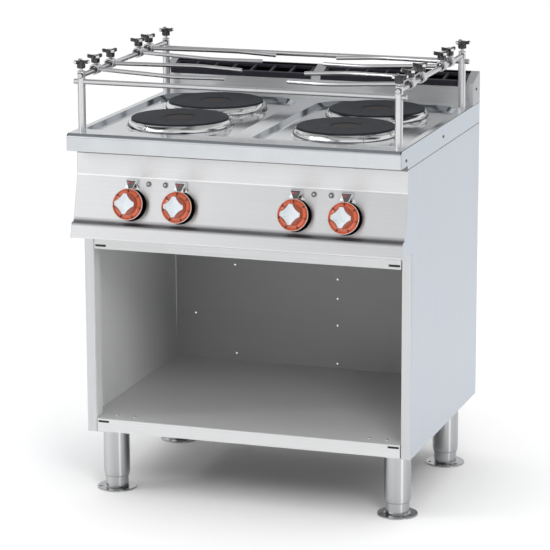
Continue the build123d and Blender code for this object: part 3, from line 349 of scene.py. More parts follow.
def enamel(name, colour, rough, speck=0.15):
    """Dark cast surface with a fine uneven skin."""
    shader = Shader(name)
    grain = shader.noise(shader.coords(), 700.0, 3.0)
    cloud = shader.noise(shader.coords(), 25.0, 4.0)
    shader.feed("Base Color", shader.drift(cloud, scaled(colour, 1 - speck), scaled(colour, 1 + 2 * speck)))
    shader.feed("Roughness", shader.span(grain, rough - 0.08, rough + 0.1))
    shader.set(Specular_IOR_Level=0.2)
    shader.bump(grain, 0.2, 0.0003)
    return shader.material


def plastic(name, colour, rough, coat=0.0, speck=0.04):
    """Moulded plastic with slight colour drift and a fine moulded skin."""
    shader = Shader(name)
    cloud = shader.noise(shader.coords(), 60.0, 3.0)
    skin = shader.noise(shader.coords(), 2200.0, 2.0)
    shader.feed("Base Color", shader.drift(cloud, scaled(colour, 1 - speck), scaled(colour, 1 + speck)))
    shader.feed("Roughness", shader.span(skin, rough - 0.03, rough + 0.05))
    shader.set(Coat_Weight=coat, Coat_Roughness=0.08)
    shader.bump(skin, 0.05, 0.0001)
    return shader.material


def pale_metal():
    """Metallised insert of the knob grip, pale with a cool cast."""
    shader = Shader("knob_insert")
    cloud = shader.noise(shader.coords(), 90.0, 3.0)
    shader.feed("Base Color", shader.drift(cloud, (0.62, 0.68, 0.72), (0.72, 0.76, 0.79)))
    shader.set(Metallic=0.55)
    shader.feed("Roughness", shader.span(cloud, 0.24, 0.34))
    return shader.material


# Colour changes: each changes a material's colour in places that are fixed on the part, most of them as
# painted shade, highlights or reflections
# Near-black painted shade in the flue
FLUE_SHADE = (0.012, 0.012, 0.014)
# Near-black painted shade inside the sleeves and the post holes
BORE_SHADE = (0.012, 0.012, 0.013)


def flue_and_cheek_shade(shader, colour):
    """Painted shade inside the flue, between the upstand's front and rear sheets, and painted shade on its
    cheeks.
    """
    x, y, _ = shader.axes("Object")
    across, _, up = shader.axes("Normal")
    outward = shader.math("MULTIPLY", x, across)
    inside = shader.both(
        shader.over(y, FLUE_FRONT_Y), shader.under(y, FLUE_REAR_Y),
        shader.under(shader.size(x), FLUE_HALF_WIDTH), shader.under(up, 0.5), shader.under(outward, 0.02))
    # painted shade on the cheeks that face sideways
    cheek = shader.over(outward, 0.3)
    return shader.mix(inside, shader.mix(cheek, colour, (0.445, 0.46, 0.475)), FLUE_SHADE)


def fold_highlight_and_shade(shader, colour):
    """Painted highlight along the fold over the panel's tilted band, painted shade in the trough under it and
    a painted shade line under the apron.
    """
    _, _, z = shader.axes("Object")
    place = shader.math("MULTIPLY", shader.math("SUBTRACT", z, TROUGH_LOW_Z), 1 / TROUGH_SPAN)
    # painted shade in the trough under the tilted band
    trough = shader.mask(place, [(0.22, 0), (0.32, 1), (0.46, 1), (0.62, 0)])
    colour = shader.mix(trough, colour, (0.34, 0.34, 0.355))
    # painted highlight along the fold
    fold = shader.under(shader.size(shader.math("SUBTRACT", z, FOLD_Z)), FOLD_HIGHLIGHT_HALF)
    colour = shader.mix(fold, colour, (0.98, 0.98, 0.98))
    return shader.mix(shader.over(z, APRON_SHADE_Z), colour, (0.24, 0.24, 0.245))


def bezel_shade(shader, colour):
    """Bezel ring round the knobs painted near-black as shade, so that only the index blocks are bright."""
    x, _, z = shader.axes("Object")
    pair = shader.math("SUBTRACT", shader.size(x), (KNOB_X[2] + KNOB_X[3]) / 2)
    across = shader.math("SUBTRACT", shader.size(pair), (KNOB_X[3] - KNOB_X[2]) / 2)
    along = shader.math("DIVIDE", shader.math("SUBTRACT", z, FOLD_Z - KNOB_DROP), cos(BAND_TILT))
    # painted shade on the bezel ring
    return shader.mix(shader.within(across, along, BEZEL_RADIUS), colour, (0.010, 0.010, 0.012))


def shaded_under(shader, colour):
    """Bars painted darker underneath than on top: painted shade."""
    _, _, up = shader.axes("Normal")
    # painted shade on faces that look down
    under_shade = shader.mask(shader.unit(up), [(0.10, 1), (0.45, 0.25), (0.70, 0)])
    return shader.mix(under_shade, colour, (0.20, 0.20, 0.205))


def shaded_bore(shader, colour):
    """Painted shade inside the pan arms' sleeves, on bars with painted shade underneath."""
    x, _, z = shader.axes("Object")
    across = shader.math("SUBTRACT", shader.size(x), POST_X)
    along = shader.math("SUBTRACT", z, SLEEVE_Z)
    # painted shade inside the bore
    inside = shader.within(across, along, SLEEVE_BORE_RADIUS)
    return shader.mix(inside, shaded_under(shader, colour), BORE_SHADE)


def shaded_hole(shader, colour):
    """Painted shade inside the holes through the posts, under their tops."""
    x, y, z = shader.axes("Object")
    middle, half = (POST_Y["front"] + POST_Y["rear"]) / 2, (POST_Y["rear"] - POST_Y["front"]) / 2
    across = shader.math("SUBTRACT", shader.size(x), POST_X)
    along = shader.math("SUBTRACT", shader.size(shader.math("SUBTRACT", y, middle)), half)
    # painted shade inside the holes
    inside = shader.both(shader.within(across, along, POST_HOLE_RADIUS), shader.under(z, POST_HOLE_TOP))
    return shader.mix(inside, colour, BORE_SHADE)


def streaks(shader, colour):
    """Painted dark reflections drawn out round the spill rings, as mirror steel shows its surroundings."""
    streak = shader.noise(shader.coords(scale=(11, 11, 95)), 1.0, 1.0)
    # painted reflections
    dark = shader.mask(streak, [(0.36, 1), (0.43, 0), (0.56, 0), (0.60, 0.7), (0.66, 0)])
    return shader.mix(dark, colour, (0.06, 0.063, 0.066))


def tube_reflections(shader, colour):
    """Painted light and dark reflection bands down the legs, with a painted highlight, as brushed tubes show
    them.
    """
    across, _, _ = shader.axes("Normal")
    # painted reflections and highlight, set by the way the surface faces
    bands = shader.mask(shader.unit(across), [
        (0.10, 0.95), (0.30, 0.65), (0.58, 0.92), (0.73, 0.85), (0.785, 0.05), (0.835, 0.85), (0.97, 1.0)])
    return shader.mix(bands, colour, (0.42, 0.425, 0.435))


def tube_end(shader, colour):
    """Leg tube with painted reflection bands and a dark line at its lower end, over the foot."""
    _, _, z = shader.axes("Object")
    low = shader.under(z, FOOT_NECK + JOINT_LINE)
    return shader.mix(low, tube_reflections(shader, colour), (0.30, 0.30, 0.31))


def low_bright(shader, colour):
    """Bright screws in the cabinet floor, darker ones above."""
    _, _, z = shader.axes("Object")
    return shader.mix(shader.under(z, FLOOR_SCREW_Z), colour, (0.85, 0.85, 0.85))


def painted_light_low(shader, colour):
    """Inner face of the back sheet, with painted light that makes it a little lighter towards the cabinet
    floor.
    """
    _, _, z = shader.axes("Object")
    _, facing, _ = shader.axes("Normal")
    share = shader.math("MULTIPLY", shader.math("SUBTRACT", BACK_LIGHT_Z, z), 1 / BACK_LIGHT_SPAN)
    inner = shader.both(share, shader.under(facing, -0.5))
    # painted light, stronger towards the floor
    return shader.mix(inner, colour, (0.54, 0.54, 0.545))


def shaded_worktop_edges(shader, colour):
    """Painted shade on the worktop's pressed slopes, brinks and flue floor, and a darker, bluish painted
    shade on its side skirts.
    """
    x, y, _ = shader.axes("Object")
    across, _, up = shader.axes("Normal")
    # painted shade on the pressed slopes and the bullnose
    slope = shader.mask(up, [(0.20, 0), (0.40, 1), (0.92, 1), (0.99, 0)])
    colour = shader.mix(slope, colour, (0.37, 0.40, 0.43))
    # painted shade on the brinks at the sides
    brink = shader.both(slope, shader.over(shader.size(x), SKIRT_BRINK_X))
    colour = shader.mix(brink, colour, (0.07, 0.075, 0.08))
    # darker, bluish painted shade on the side skirts
    colour = shader.mix(shader.over(shader.size(across), 0.8), colour, (0.42, 0.47, 0.535))
    # painted shade on the flue floor
    flue_floor = shader.both(shader.over(y, FLUE_FLOOR_Y), shader.over(up, 0.5))
    return shader.mix(flue_floor, colour, FLUE_SHADE)


# Materials, with the brushing's streaks per metre along X, Y and Z
SIDEWAYS = (3, 420, 420)
UPRIGHT = (420, 420, 3)
EVEN = (160, 160, 160)
TUBE = (120, 120, 3)
BAR = (0.68, 0.68, 0.695)
steel_front = brushed("steel_front_sheet", (0.66, 0.665, 0.675), 0.42, SIDEWAYS, 0.04, 0.3, recolour=flue_and_cheek_shade)
steel_panel = brushed("steel_panel", (0.75, 0.755, 0.765), 0.33, SIDEWAYS, 0.03, 0.93, recolour=fold_highlight_and_shade)
# The outer colour is a darker, bluish copy of the front steel: painted shade on the sides
steel_side = folded("steel_side_sheet", (0.60, 0.61, 0.625), (0.96, 0.965, 0.97), 0.38, UPRIGHT,
                    (0.565, 0.605, 0.665))
steel_inner = brushed("steel_inner_sheet", (0.31, 0.31, 0.31), 0.50, SIDEWAYS, metallic=0.2,
                      recolour=painted_light_low)
steel_shelf = folded("steel_shelf", (0.72, 0.725, 0.73), (0.62, 0.62, 0.625), 0.42, SIDEWAYS)
steel_rail = brushed("steel_rail_sheet", (0.66, 0.665, 0.67), 0.32, SIDEWAYS, metallic=0.6)
steel_bar = brushed("steel_bar", BAR, 0.30, EVEN, 0.02, recolour=shaded_under)
steel_arm = brushed("steel_arm", BAR, 0.30, EVEN, 0.02, recolour=shaded_bore)
steel_post = brushed("steel_post", BAR, 0.32, EVEN, 0.02, recolour=shaded_hole)
steel_leg = brushed("steel_leg", (0.86, 0.865, 0.875), 0.22, TUBE, 0.06, recolour=tube_end)
steel_foot = brushed("steel_foot", (0.80, 0.805, 0.815), 0.22, TUBE, 0.06, recolour=tube_reflections)
steel_top = polished("steel_worktop", (0.64, 0.66, 0.68), 0.10, 0.90, shaded_worktop_edges)
steel_bezel = polished("steel_bezel", (0.82, 0.82, 0.83), 0.10, recolour=bezel_shade)
steel_bright = polished("steel_bright", (0.80, 0.80, 0.81), 0.07)
steel_ring = polished("steel_ring", (0.86, 0.86, 0.865), 0.06, recolour=streaks)
steel_screw = polished("steel_screw", (0.20, 0.20, 0.205), 0.25, recolour=low_bright)
steel_plated = brushed("steel_plated", (0.52, 0.52, 0.51), 0.4, (80, 80, 80))
iron_plate = plate_iron()
iron_grille = enamel("iron_grille", (0.026, 0.025, 0.034), 0.5)
black_gloss = plastic("plastic_black", (0.008, 0.008, 0.010), 0.16, 0.6)
black_body = plastic("plastic_black_body", (0.005, 0.005, 0.007), 0.3)
black_matt = plastic("plastic_black_matt", (0.010, 0.010, 0.011), 0.45)
grey_end = plastic("plastic_grey_end", (0.78, 0.78, 0.78), 0.2, 0.6)
orange = plastic("plastic_orange", (0.66, 0.125, 0.050), 0.22, 0.8)
# Darker orange: painted shade on the grips' flanks
orange_shaded = plastic("plastic_orange_shaded", (0.36, 0.075, 0.034), 0.20, 0.8)
pale_rim = plastic("plastic_pale_rim", (0.70, 0.62, 0.58), 0.3)
mark_dark = plastic("mark_dark", (0.025, 0.015, 0.014), 0.5)
red_gem = plastic("index_red", (0.33, 0.045, 0.065), 0.2, 0.8)
dark_glass = plastic("index_dark", (0.055, 0.06, 0.06), 0.12, 0.8)
lens = plastic("lamp_lens", (0.20, 0.20, 0.19), 0.12, 0.9)
ring_dark = plastic("lamp_ring", (0.05, 0.05, 0.05), 0.25, 0.3)
ceramic = plastic("ceramic", (0.70, 0.67, 0.60), 0.6)
insert_pale = pale_metal()

looks = {
    steel_panel: ["control_panel"],
    steel_front: ["upstand"],
    steel_rail: ["cabinet_top_rail"],
    steel_side: [f"side_panel_{side}" for side, _ in SIDES],
    steel_inner: ["back_panel", "wiring_tray"],
    steel_shelf: ["cabinet_floor"],
    steel_top: ["worktop"],
    steel_bar: [f"cross_rail_{end}" for end in POST_Y] + [f"side_rail_{side}" for side, _ in SIDES],
    steel_arm: [f"pan_arm_{arm}" for arm in ARMS],
    steel_post: ["rail_posts"],
    steel_leg: ["leg_tubes"],
    steel_foot: [f"levelling_foot_{corner}" for corner in CORNERS],
    steel_bezel: ["index_bezels"],
    steel_ring: ["spill_rings"],
    steel_screw: ["panel_screws"],
    steel_plated: ["plate_clamps", "post_nuts", "pilot_lamps"],
    iron_plate: [f"hot_plate_{corner}" for corner in CORNERS],
    iron_grille: [f"flue_grille_{side}" for side, _ in SIDES],
    black_matt: ["rotary_switches", "cable_gland", "hinge_bushes"],
    black_gloss: [f"arm_knob_{arm}" for arm in ARMS] + [f"post_knob_{corner}" for corner in CORNERS],
    orange: [f"control_knob_{number}" for number in range(1, len(KNOB_X) + 1)],
    ceramic: ["heating_elements", "terminal_block"],
}
for material, names in looks.items():
    for name in names:
        slots = nodes[name].data.materials
        slots.clear()
        slots.append(material)


# Mesh helpers
def piece(name, verts, faces, material, body, matrix, flat=False):
    """A mesh piece that rides on a body. Unless it is flat, edges stay sharp over 35 degrees only."""
    mesh = bpy.data.meshes.new(name)
    mesh.from_pydata([tuple(v) for v in verts], [], faces)
    mesh.transform(matrix)
    mesh.validate()
    mesh.materials.append(material)
    made = bpy.data.objects.new(name, mesh)
    scene.collection.objects.link(made)
    if not flat:
        mesh.polygons.foreach_set("use_smooth", [True] * len(mesh.polygons))
        mesh.set_sharp_from_angle(angle=radians(35))
    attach(made, body)
    return made


def rings_mesh(rings, closed_end=True):
    """Vertices and faces of a skin over rings of points, all rings alike in count, closed at its start."""
    count = len(rings[0])
    verts = [point for ring in rings for point in ring]
    faces = []
    for i in range(len(rings) - 1):
        for j in range(count):
            k = (j + 1) % count
            faces.append((i * count + j, i * count + k, (i + 1) * count + k, (i + 1) * count + j))
    faces.append(tuple(reversed(range(count))))
    if closed_end:
        base = (len(rings) - 1) * count
        faces.append(tuple(base + j for j in range(count)))
    return verts, faces


def lathe(profile, segments, wave=None):
    """A skin round Z over (radius, height) points. wave(radius, angle, height) may change a radius.

    The last two faces close its ends.
    """
    rings = []
    for r, z in profile:
        ring = []
        for j in range(segments):
            a = 2 * pi * j / segments
            radius = wave(r, a, z) if wave else r
            ring.append((radius * cos(a), radius * sin(a), z))
        rings.append(ring)
    return rings_mesh(rings)


def band_frame(x, drop):
    """Place on the tilted band of the control panel: Y up the band, Z out of it."""
    c, s = cos(BAND_TILT), sin(BAND_TILT)
    y = BAND_TOP_Y - drop * tan(BAND_TILT)
    return Matrix(((1, 0, 0, x), (0, s, -c, y), (0, c, s, FOLD_Z - drop), (0, 0, 0, 1)))


# Control knobs
GRIP_LEAN = atan2(GRIP_FOOT + GRIP_COLLAR - GRIP_FLANK, KNOB_TOP - KNOB_FACE)
GRIP_BREAK = 0.0006
GRIP_ROUND = 0.0005
GRIP_STEPS = 14
DISH_DEPTH = 0.0022
DISH_STEPS = 8
KNOB_POINTS = 160
KNOB_RIM = 0.0018
KNOB_RIBS = 56
RIB_HEIGHT = 0.0007
RIB_SPAN = (0.006, 0.0185)
RIB_LEAST_RADIUS = 0.029
RIM_STEPS = 12
MARK_COUNT = 7
MARK_HALF = 0.0007
MARK_FLARE = 1.9
MARK_INNER = 0.0090
MARK_OUTER = 0.0016


def grip_radius(a, z):
    """Radius of the knob's grip at an angle and height: a cone cut by four leaning round hollows."""
    share = (z - KNOB_FACE) / (KNOB_TOP - KNOB_FACE)
    cone = GRIP_FOOT + (GRIP_TIP - GRIP_FOOT) * share
    turn = a % (pi / 2) - pi / 4
    long_axis = HOLLOW_RADIUS / cos(GRIP_LEAN)
    centre = GRIP_FLANK + (KNOB_TOP - z) * tan(GRIP_LEAN) + long_axis
    square = (cos(turn) / long_axis) ** 2 + (sin(turn) / HOLLOW_RADIUS) ** 2
    half = cos(turn) * centre / long_axis ** 2
    rest = half ** 2 - square * ((centre / long_axis) ** 2 - 1)
    if rest <= 0:
        return cone
    return min(cone, (half - sqrt(rest)) / square)


def knob_ring(radius, z):
    """One ring of points round the knob's axis. radius(angle) may change round it."""
    angles = [2 * pi * j / KNOB_POINTS for j in range(KNOB_POINTS)]
    return [(radius(a) * cos(a), radius(a) * sin(a), z) for a in angles]


def knob_face_rings():
    """Rings of the orange shell: grip, flanks, dished ring face and outer wall."""
    rings = [knob_ring(lambda a: 0.4 * grip_radius(a, KNOB_TOP), KNOB_TOP)]
    rings.append(knob_ring(lambda a: grip_radius(a, KNOB_TOP) - GRIP_BREAK, KNOB_TOP))
    for k in range(1, GRIP_STEPS + 1):
        z = KNOB_TOP - GRIP_ROUND - (KNOB_TOP - GRIP_ROUND - KNOB_FACE) * k / GRIP_STEPS
        rings.append(knob_ring(lambda a: grip_radius(a, z), z))
    edge = KNOB_RADIUS - KNOB_RIM
    wall = []
    for k in range(1, DISH_STEPS + 1):
        share = k / DISH_STEPS
        drop = DISH_DEPTH * sin(pi * share) * (1 - 0.1 * share)
        wall.append((GRIP_FOOT + (edge - GRIP_FOOT) * share, -drop))
    wall += [(edge + 0.0009, -0.0008), (KNOB_RADIUS - 0.0007, -0.0040), (KNOB_RADIUS - 0.0020, -0.0060)]
    return rings + [knob_ring(lambda a: r, KNOB_FACE + z) for r, z in wall]


def knob_insert_rings():
    """Rings of the pale plate on the grip, with a slightly hollow face."""
    levels = ((0.2, 0.0), (0.975, 0.0), (0.975, 0.0005), (0.95, 0.0009), (0.86, 0.0008), (0.5, 0.0005),
              (0.1, 0.0004))
    return [knob_ring(lambda a: share * grip_radius(a, KNOB_TOP), KNOB_TOP + z) for share, z in levels]


def control_knob(number, x):
    """Orange shell with painted shade on the grip's flanks, on a ribbed black body, with a pale rim, a pale
    grip plate and seven marks.
    """
    body = f"control_knob_{number}"
    matrix = band_frame(x, KNOB_DROP)
    verts, faces = rings_mesh(knob_face_rings(), closed_end=False)
    shell = piece(f"knob_shell_{number}", verts, faces, orange, body, matrix)
    shell.data.materials.append(orange_shaded)
    # the grip's flanks take the darker orange, a painted shade
    for face in shell.data.polygons:
        height = (matrix.inverted() @ face.center).z
        face.material_index = int(KNOB_FACE + GRIP_BREAK < height < KNOB_TOP - GRIP_BREAK)
    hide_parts(body)

    def ribs(r, a, z):
        ribbed = RIB_SPAN[0] < z < RIB_SPAN[1] and r > RIB_LEAST_RADIUS
        return r + (RIB_HEIGHT * abs(cos(KNOB_RIBS / 2 * a)) if ribbed else 0)

    profile = [(0.004, 0.0035), (0.0285, 0.0035), (0.0300, 0.005), (0.0306, 0.0065), (0.0312, 0.0120),
               (0.0320, 0.0180), (0.0330, 0.0192), (0.0345, 0.0197), (0.0345, 0.0212), (0.0200, 0.0212)]
    verts, faces = lathe(profile, 168, ribs)
    piece(f"knob_body_{number}", verts, faces, black_body, body, matrix)

    rim = []
    for k in range(RIM_STEPS + 1):
        a = -pi / 2 + 2 * pi * k / RIM_STEPS
        rim.append((KNOB_RADIUS - 0.0006 + 0.0008 * cos(a), KNOB_FACE - 0.0018 + 0.0016 * sin(a)))
    verts, faces = lathe(rim, 96)
    piece(f"knob_rim_{number}", verts, faces[:-2], pale_rim, body, matrix)

    verts, faces = rings_mesh(knob_insert_rings())
    piece(f"knob_insert_{number}", verts, faces, insert_pale, body, matrix)

    inner, outer = KNOB_RADIUS - MARK_INNER, KNOB_RADIUS - MARK_OUTER
    wide = MARK_FLARE * MARK_HALF
    outline = [(-MARK_HALF, inner), (MARK_HALF, inner), (wide, outer), (-wide, outer)]
    for k in range(MARK_COUNT):
        turn = Matrix.Rotation(-2 * pi * k / MARK_COUNT, 4, "Z")
        levels = [[(px, py, KNOB_FACE + z) for px, py in outline] for z in (-0.0020, 0.0002)]
        verts, faces = rings_mesh(levels)
        piece(f"knob_mark_{number}_{k}", verts, faces, mark_dark, body, matrix @ turn, flat=True)


# Index inlays and pilot lamps
INLAY_MARGIN = 0.0008
INLAY_SIDE_MARGIN = 0.0012
INLAY_LOW_MARGIN = 0.0015
INLAY_LEVELS = ((1.0, -0.0004), (1.0, 0.0003), (0.93, 0.0006))
GEM_PLACE = (-0.0032, -0.0050, 0.0005)
GEM_STRETCH = (1.75, 1.15, 1, 1)
LENS_RADIUS = 0.0043
LENS_BASE = 0.0026
LENS_HEIGHT = 0.0012
LENS_STEPS = 7


def index_inlay(number, x):
    """Dark glassy inlay with a red mark on the face of the bezel's index block."""
    matrix = band_frame(x, KNOB_DROP)
    top = INDEX_REACH - INDEX_FACE_DROP - INLAY_MARGIN
    low = INDEX_LOW + INLAY_LOW_MARGIN
    slope = (INDEX_TOP_WIDTH - INDEX_FACE_WIDTH) / (INDEX_REACH - INDEX_FACE_DROP - INDEX_LOW)
    wide = INDEX_TOP_WIDTH / 2 - INLAY_SIDE_MARGIN
    narrow = INDEX_FACE_WIDTH / 2 + slope * (low - INDEX_LOW) / 2 - INLAY_MARGIN
    outline = [(-narrow, low), (narrow, low), (wide, top), (-wide, top)]
    middle = (low + top) / 2
    rings = []
    for share, z in INLAY_LEVELS:
        rings.append([(px * share, middle + (py - middle) * share, INDEX_DEPTH + z) for px, py in outline])
    verts, faces = rings_mesh(rings)
    piece(f"index_inlay_{number}", verts, faces, dark_glass, "range", matrix, flat=True)
    gem = Matrix.Translation((GEM_PLACE[0], top + GEM_PLACE[1], INDEX_DEPTH + GEM_PLACE[2]))
    verts, faces = lathe([(0.0030, -0.0003), (0.0030, 0.0003), (0.0024, 0.0009), (0.0012, 0.0013)], 24)
    piece(f"index_mark_{number}", verts, faces, red_gem, "range", matrix @ gem @ Matrix.Diagonal(GEM_STRETCH))


def lamp_lens(number, x):
    """Domed lens in a thin dark collar on a pilot lamp."""
    matrix = band_frame(x, LAMP_DROP)
    collar = [(0.0040, 0.0026), (0.0043, 0.0034), (0.0050, 0.0034), (0.0056, 0.0026), (0.0057, 0.0018)]
    verts, faces = lathe(collar, 40)
    piece(f"lamp_collar_{number}", verts, faces[:-2], ring_dark, "range", matrix)
    angles = [pi / 2 * k / LENS_STEPS for k in range(LENS_STEPS)]
    verts, faces = lathe([(LENS_RADIUS * cos(a), LENS_BASE + LENS_HEIGHT * sin(a)) for a in angles], 32)
    piece(f"lamp_lens_{number}", verts, faces, lens, "range", matrix)


for number, x in enumerate(KNOB_X, 1):
    control_knob(number, x)
    index_inlay(number, x)
for number, x in enumerate(LAMP_X, 1):
    lamp_lens(number, x)

# Hand knobs and welds
STAR_REACH = 0.0200
STAR_ARM_SINK = 0.0010
STAR_ARM_ROOT = 0.004
STAR_ARM_STEPS = 10
STAR_ARM_POINTS = 24
STAR_ARM_ROUND = 0.15
STAR_ARM_END = 0.75
STAR_ARM_SWELL = 0.0011
END_PLATE_SHARE = 0.92
END_PLATE_SWELL = 0.0004
END_PLATE_PROUD = 0.0006
FLUTE_COUNT = 6
FLUTE_DEPTH = 0.0016
FLUTE_LEAST_RADIUS = 0.009
THREAD_PITCH = 0.00125
THREAD_CREST = 0.0040
THREAD_ROOT = 0.0036
STUD_CHAMFER = 0.001
WELD_SIZE = 0.0016
WELD_STEPS = 8
WELD_SINK = 0.0014


def squarish(value):
    """A cosine or sine drawn out, so that a ring of points nears a rounded square."""
    return abs(value) ** 0.5 * (1 if value >= 0 else -1)


def hand_knob_arm(half_width, half_height, reach):
    """Rings of one arm along X: a rounded bar that rises a little and rounds off at its end."""
    rings = []
    top = STAR_BASE + STAR_HUB_HEIGHT
    for i in range(STAR_ARM_STEPS + 1):
        t = i / STAR_ARM_STEPS
        past = max(0.0, t - (1 - STAR_ARM_ROUND)) / STAR_ARM_ROUND
        close = sqrt(max(0.0, 1 - past ** 2)) * (1 - STAR_ARM_END) + STAR_ARM_END
        centre = top - STAR_ARM_THICKNESS / 2 - STAR_ARM_SINK + STAR_ARM_RISE * t ** 1.5
        ring = []
        for j in range(STAR_ARM_POINTS):
            a = 2 * pi * j / STAR_ARM_POINTS
            across = half_width * close * squarish(cos(a))
            height = half_height * close * squarish(sin(a))
            ring.append((STAR_ARM_ROOT + (reach - STAR_ARM_ROOT) * t, across, centre + height))
        rings.append(ring)
    return rings


def hand_knob(name, x, y, turn):
    """Three-armed black knob: fluted hub, arms with pale end plates, threaded stud."""
    place = Matrix.Translation((x, y, 0)) @ Matrix.Rotation(turn, 4, "Z")
    base, top = STAR_BASE, STAR_BASE + STAR_HUB_HEIGHT
    under = top - STAR_ARM_THICKNESS

    def flutes(r, a, z):
        fluted = r > FLUTE_LEAST_RADIUS and z < under
        return r - (FLUTE_DEPTH * (0.5 - 0.5 * cos(FLUTE_COUNT * a)) ** 2 if fluted else 0)

    hub = [(0.0050, base), (0.0090, base), (0.0100, base + 0.0008), (STAR_HUB_RADIUS, base + 0.002),
           (STAR_HUB_RADIUS, under - 0.0005), (STAR_HUB_RADIUS, under + 0.0005),
           (STAR_HUB_RADIUS, top - 0.0012), (0.0094, top - 0.0002), (0.0070, top - 0.0008),
           (0.0030, top - 0.0010)]
    verts, faces = lathe(hub, 96, flutes)
    main = piece(f"{name}_hub", verts, faces, black_gloss, name, place)
    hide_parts(name)
    half_width, half_height = STAR_ARM_WIDTH / 2, STAR_ARM_THICKNESS / 2
    for k in range(3):
        lobe = place @ Matrix.Rotation(2 * pi * k / 3, 4, "Z")
        arm = hand_knob_arm(half_width, half_height + STAR_ARM_SWELL, STAR_REACH - END_PLATE_PROUD)
        verts, faces = rings_mesh(arm)
        piece(f"{name}_arm_{k}", verts, faces, black_gloss, name, lobe)
        end = hand_knob_arm(END_PLATE_SHARE * STAR_ARM_WIDTH / 2, half_height + END_PLATE_SWELL, STAR_REACH)
        verts, faces = rings_mesh(end[-3:])
        piece(f"{name}_end_{k}", verts, faces, grey_end, name, lobe)
    z = STUD_TIP + STUD_CHAMFER
    stud = [(0.0030, STUD_TIP), (THREAD_CREST, z)]
    while z < base:
        stud += [(THREAD_CREST, z + 0.0004), (THREAD_ROOT, z + 0.0008), (THREAD_CREST, z + THREAD_PITCH)]
        z += THREAD_PITCH
    verts, faces = lathe(stud, 24)
    piece(f"{name}_stud", verts, faces, steel_bright, name, place)


def weld_bead(name, x, y, side):
    """Small weld round the root of a pan arm's rod."""
    profile = []
    for k in range(WELD_STEPS + 1):
        a = pi * k / WELD_STEPS
        profile.append((ROD_RADIUS + WELD_SIZE * sin(a), WELD_SIZE * (1 - cos(a))))

    def ripple(r, a, z):
        return r + 0.00025 * sin(11 * a + 900 * z)

    verts, faces = lathe(profile, 44, ripple)
    root = Matrix.Translation((x - side * (SLEEVE_RADIUS - WELD_SINK), y, SLEEVE_Z))
    place = root @ Matrix.Rotation(-side * pi / 2, 4, "Y")
    piece(f"{name}_weld", verts, faces, steel_bar, name, place)


for side, sign in SIDES:
    for k, y in enumerate(ARM_Y, 1):
        hand_knob(f"arm_knob_{side}_{k}", sign * POST_X, y, ARM_KNOB_TURN)
        weld_bead(f"pan_arm_{side}_{k}", sign * POST_X, y, sign)
    for end, y in POST_Y.items():
        hand_knob(f"post_knob_{end}_{side}", sign * POST_X, y, POST_KNOB_TURN)

# Stage
FLOOR_REACH = 40.0
FLOOR_DROP = 0.0002
FLOOR_TONE = (0.95, 0.95, 0.95)
FLOOR_GLOW = 0.02
FLAG_TONE = (0.04, 0.04, 0.04)
FLAG_DISTANCE = 2.6
FLAG_WIDTH = 1.0
FLAG_HEIGHT = 0.85


def stage_material(name, build):
    """A material whose surface shader build(tree) makes."""
    material = bpy.data.materials.new(name)
    material.use_nodes = True
    material.node_tree.nodes.clear()
    tree = Tree(material.node_tree)
    out = tree.node("ShaderNodeOutputMaterial")
    tree.link(build(tree), out.inputs["Surface"])
    return material


def matt(tree, colour):
    """Output of a diffuse shader."""
    diffuse = tree.node("ShaderNodeBsdfDiffuse")
    diffuse.inputs["Color"].default_value = (*colour, 1)
    return diffuse.outputs[0]


def floor_surface(tree):
    """White floor that keeps the object's shadow: most of it is lit, a little glows to the viewer."""
    path = tree.node("ShaderNodeLightPath")
    seen = tree.math("MAXIMUM", path.outputs["Is Camera Ray"], path.outputs["Is Glossy Ray"])
    seen = tree.math("MAXIMUM", seen, path.outputs["Is Transmission Ray"])
    glow = tree.node("ShaderNodeEmission")
    tree.link(tree.math("MULTIPLY", seen, FLOOR_GLOW), glow.inputs["Strength"])
    add = tree.node("ShaderNodeAddShader")
    tree.link(matt(tree, FLOOR_TONE), add.inputs[0])
    tree.link(glow.outputs[0], add.inputs[1])
    return add.outputs[0]


def flag_surface(tree):
    """Matt black card."""
    return matt(tree, FLAG_TONE)


def stage_sheet(name, corners, material):
    """A flat sheet of the stage."""
    mesh = bpy.data.meshes.new(name)
    mesh.from_pydata(corners, [], [(0, 1, 2, 3)])
    mesh.materials.append(material)
    made = bpy.data.objects.new(name, mesh)
    scene.collection.objects.link(made)
    return made


def flag(name, azimuth, material):
    """A black card that only glossy surfaces show, for dark edges on bars, posts and folds."""
    a = radians(azimuth)
    centre = Vector((sin(a), -cos(a), 0)) * FLAG_DISTANCE
    across = Vector((cos(a), sin(a), 0)) * FLAG_WIDTH / 2
    up = Vector((0, 0, FLAG_HEIGHT))
    left, right = centre - across, centre + across
    made = stage_sheet(name, [left, right, right + up, left + up], material)
    made.visible_camera = False
    made.visible_diffuse = False
    made.visible_transmission = False
    made.visible_shadow = False


floor_signs = ((-1, -1), (1, -1), (1, 1), (-1, 1))
floor_corners = [(x * FLOOR_REACH, y * FLOOR_REACH, -FLOOR_DROP) for x, y in floor_signs]
stage_sheet("floor", floor_corners, stage_material("floor_white", floor_surface))
card = stage_material("flag_black", flag_surface)
flag("flag_right", 72, card)
flag("flag_left", -84, card)

# Light
SOFT_BOX_AZIMUTH = radians(-46)
SOFT_BOX_RISE = radians(20)
SOFT_BOX_EDGE = (0.88, 0.94)
SOFT_BOX_LEVEL = 0.8
WALL_HEIGHTS = (0.28, 0.75)
WALL_LEVELS = (0.80, 0.40)
DOME_TOP = 1.9
DOME_BASE = 0.05


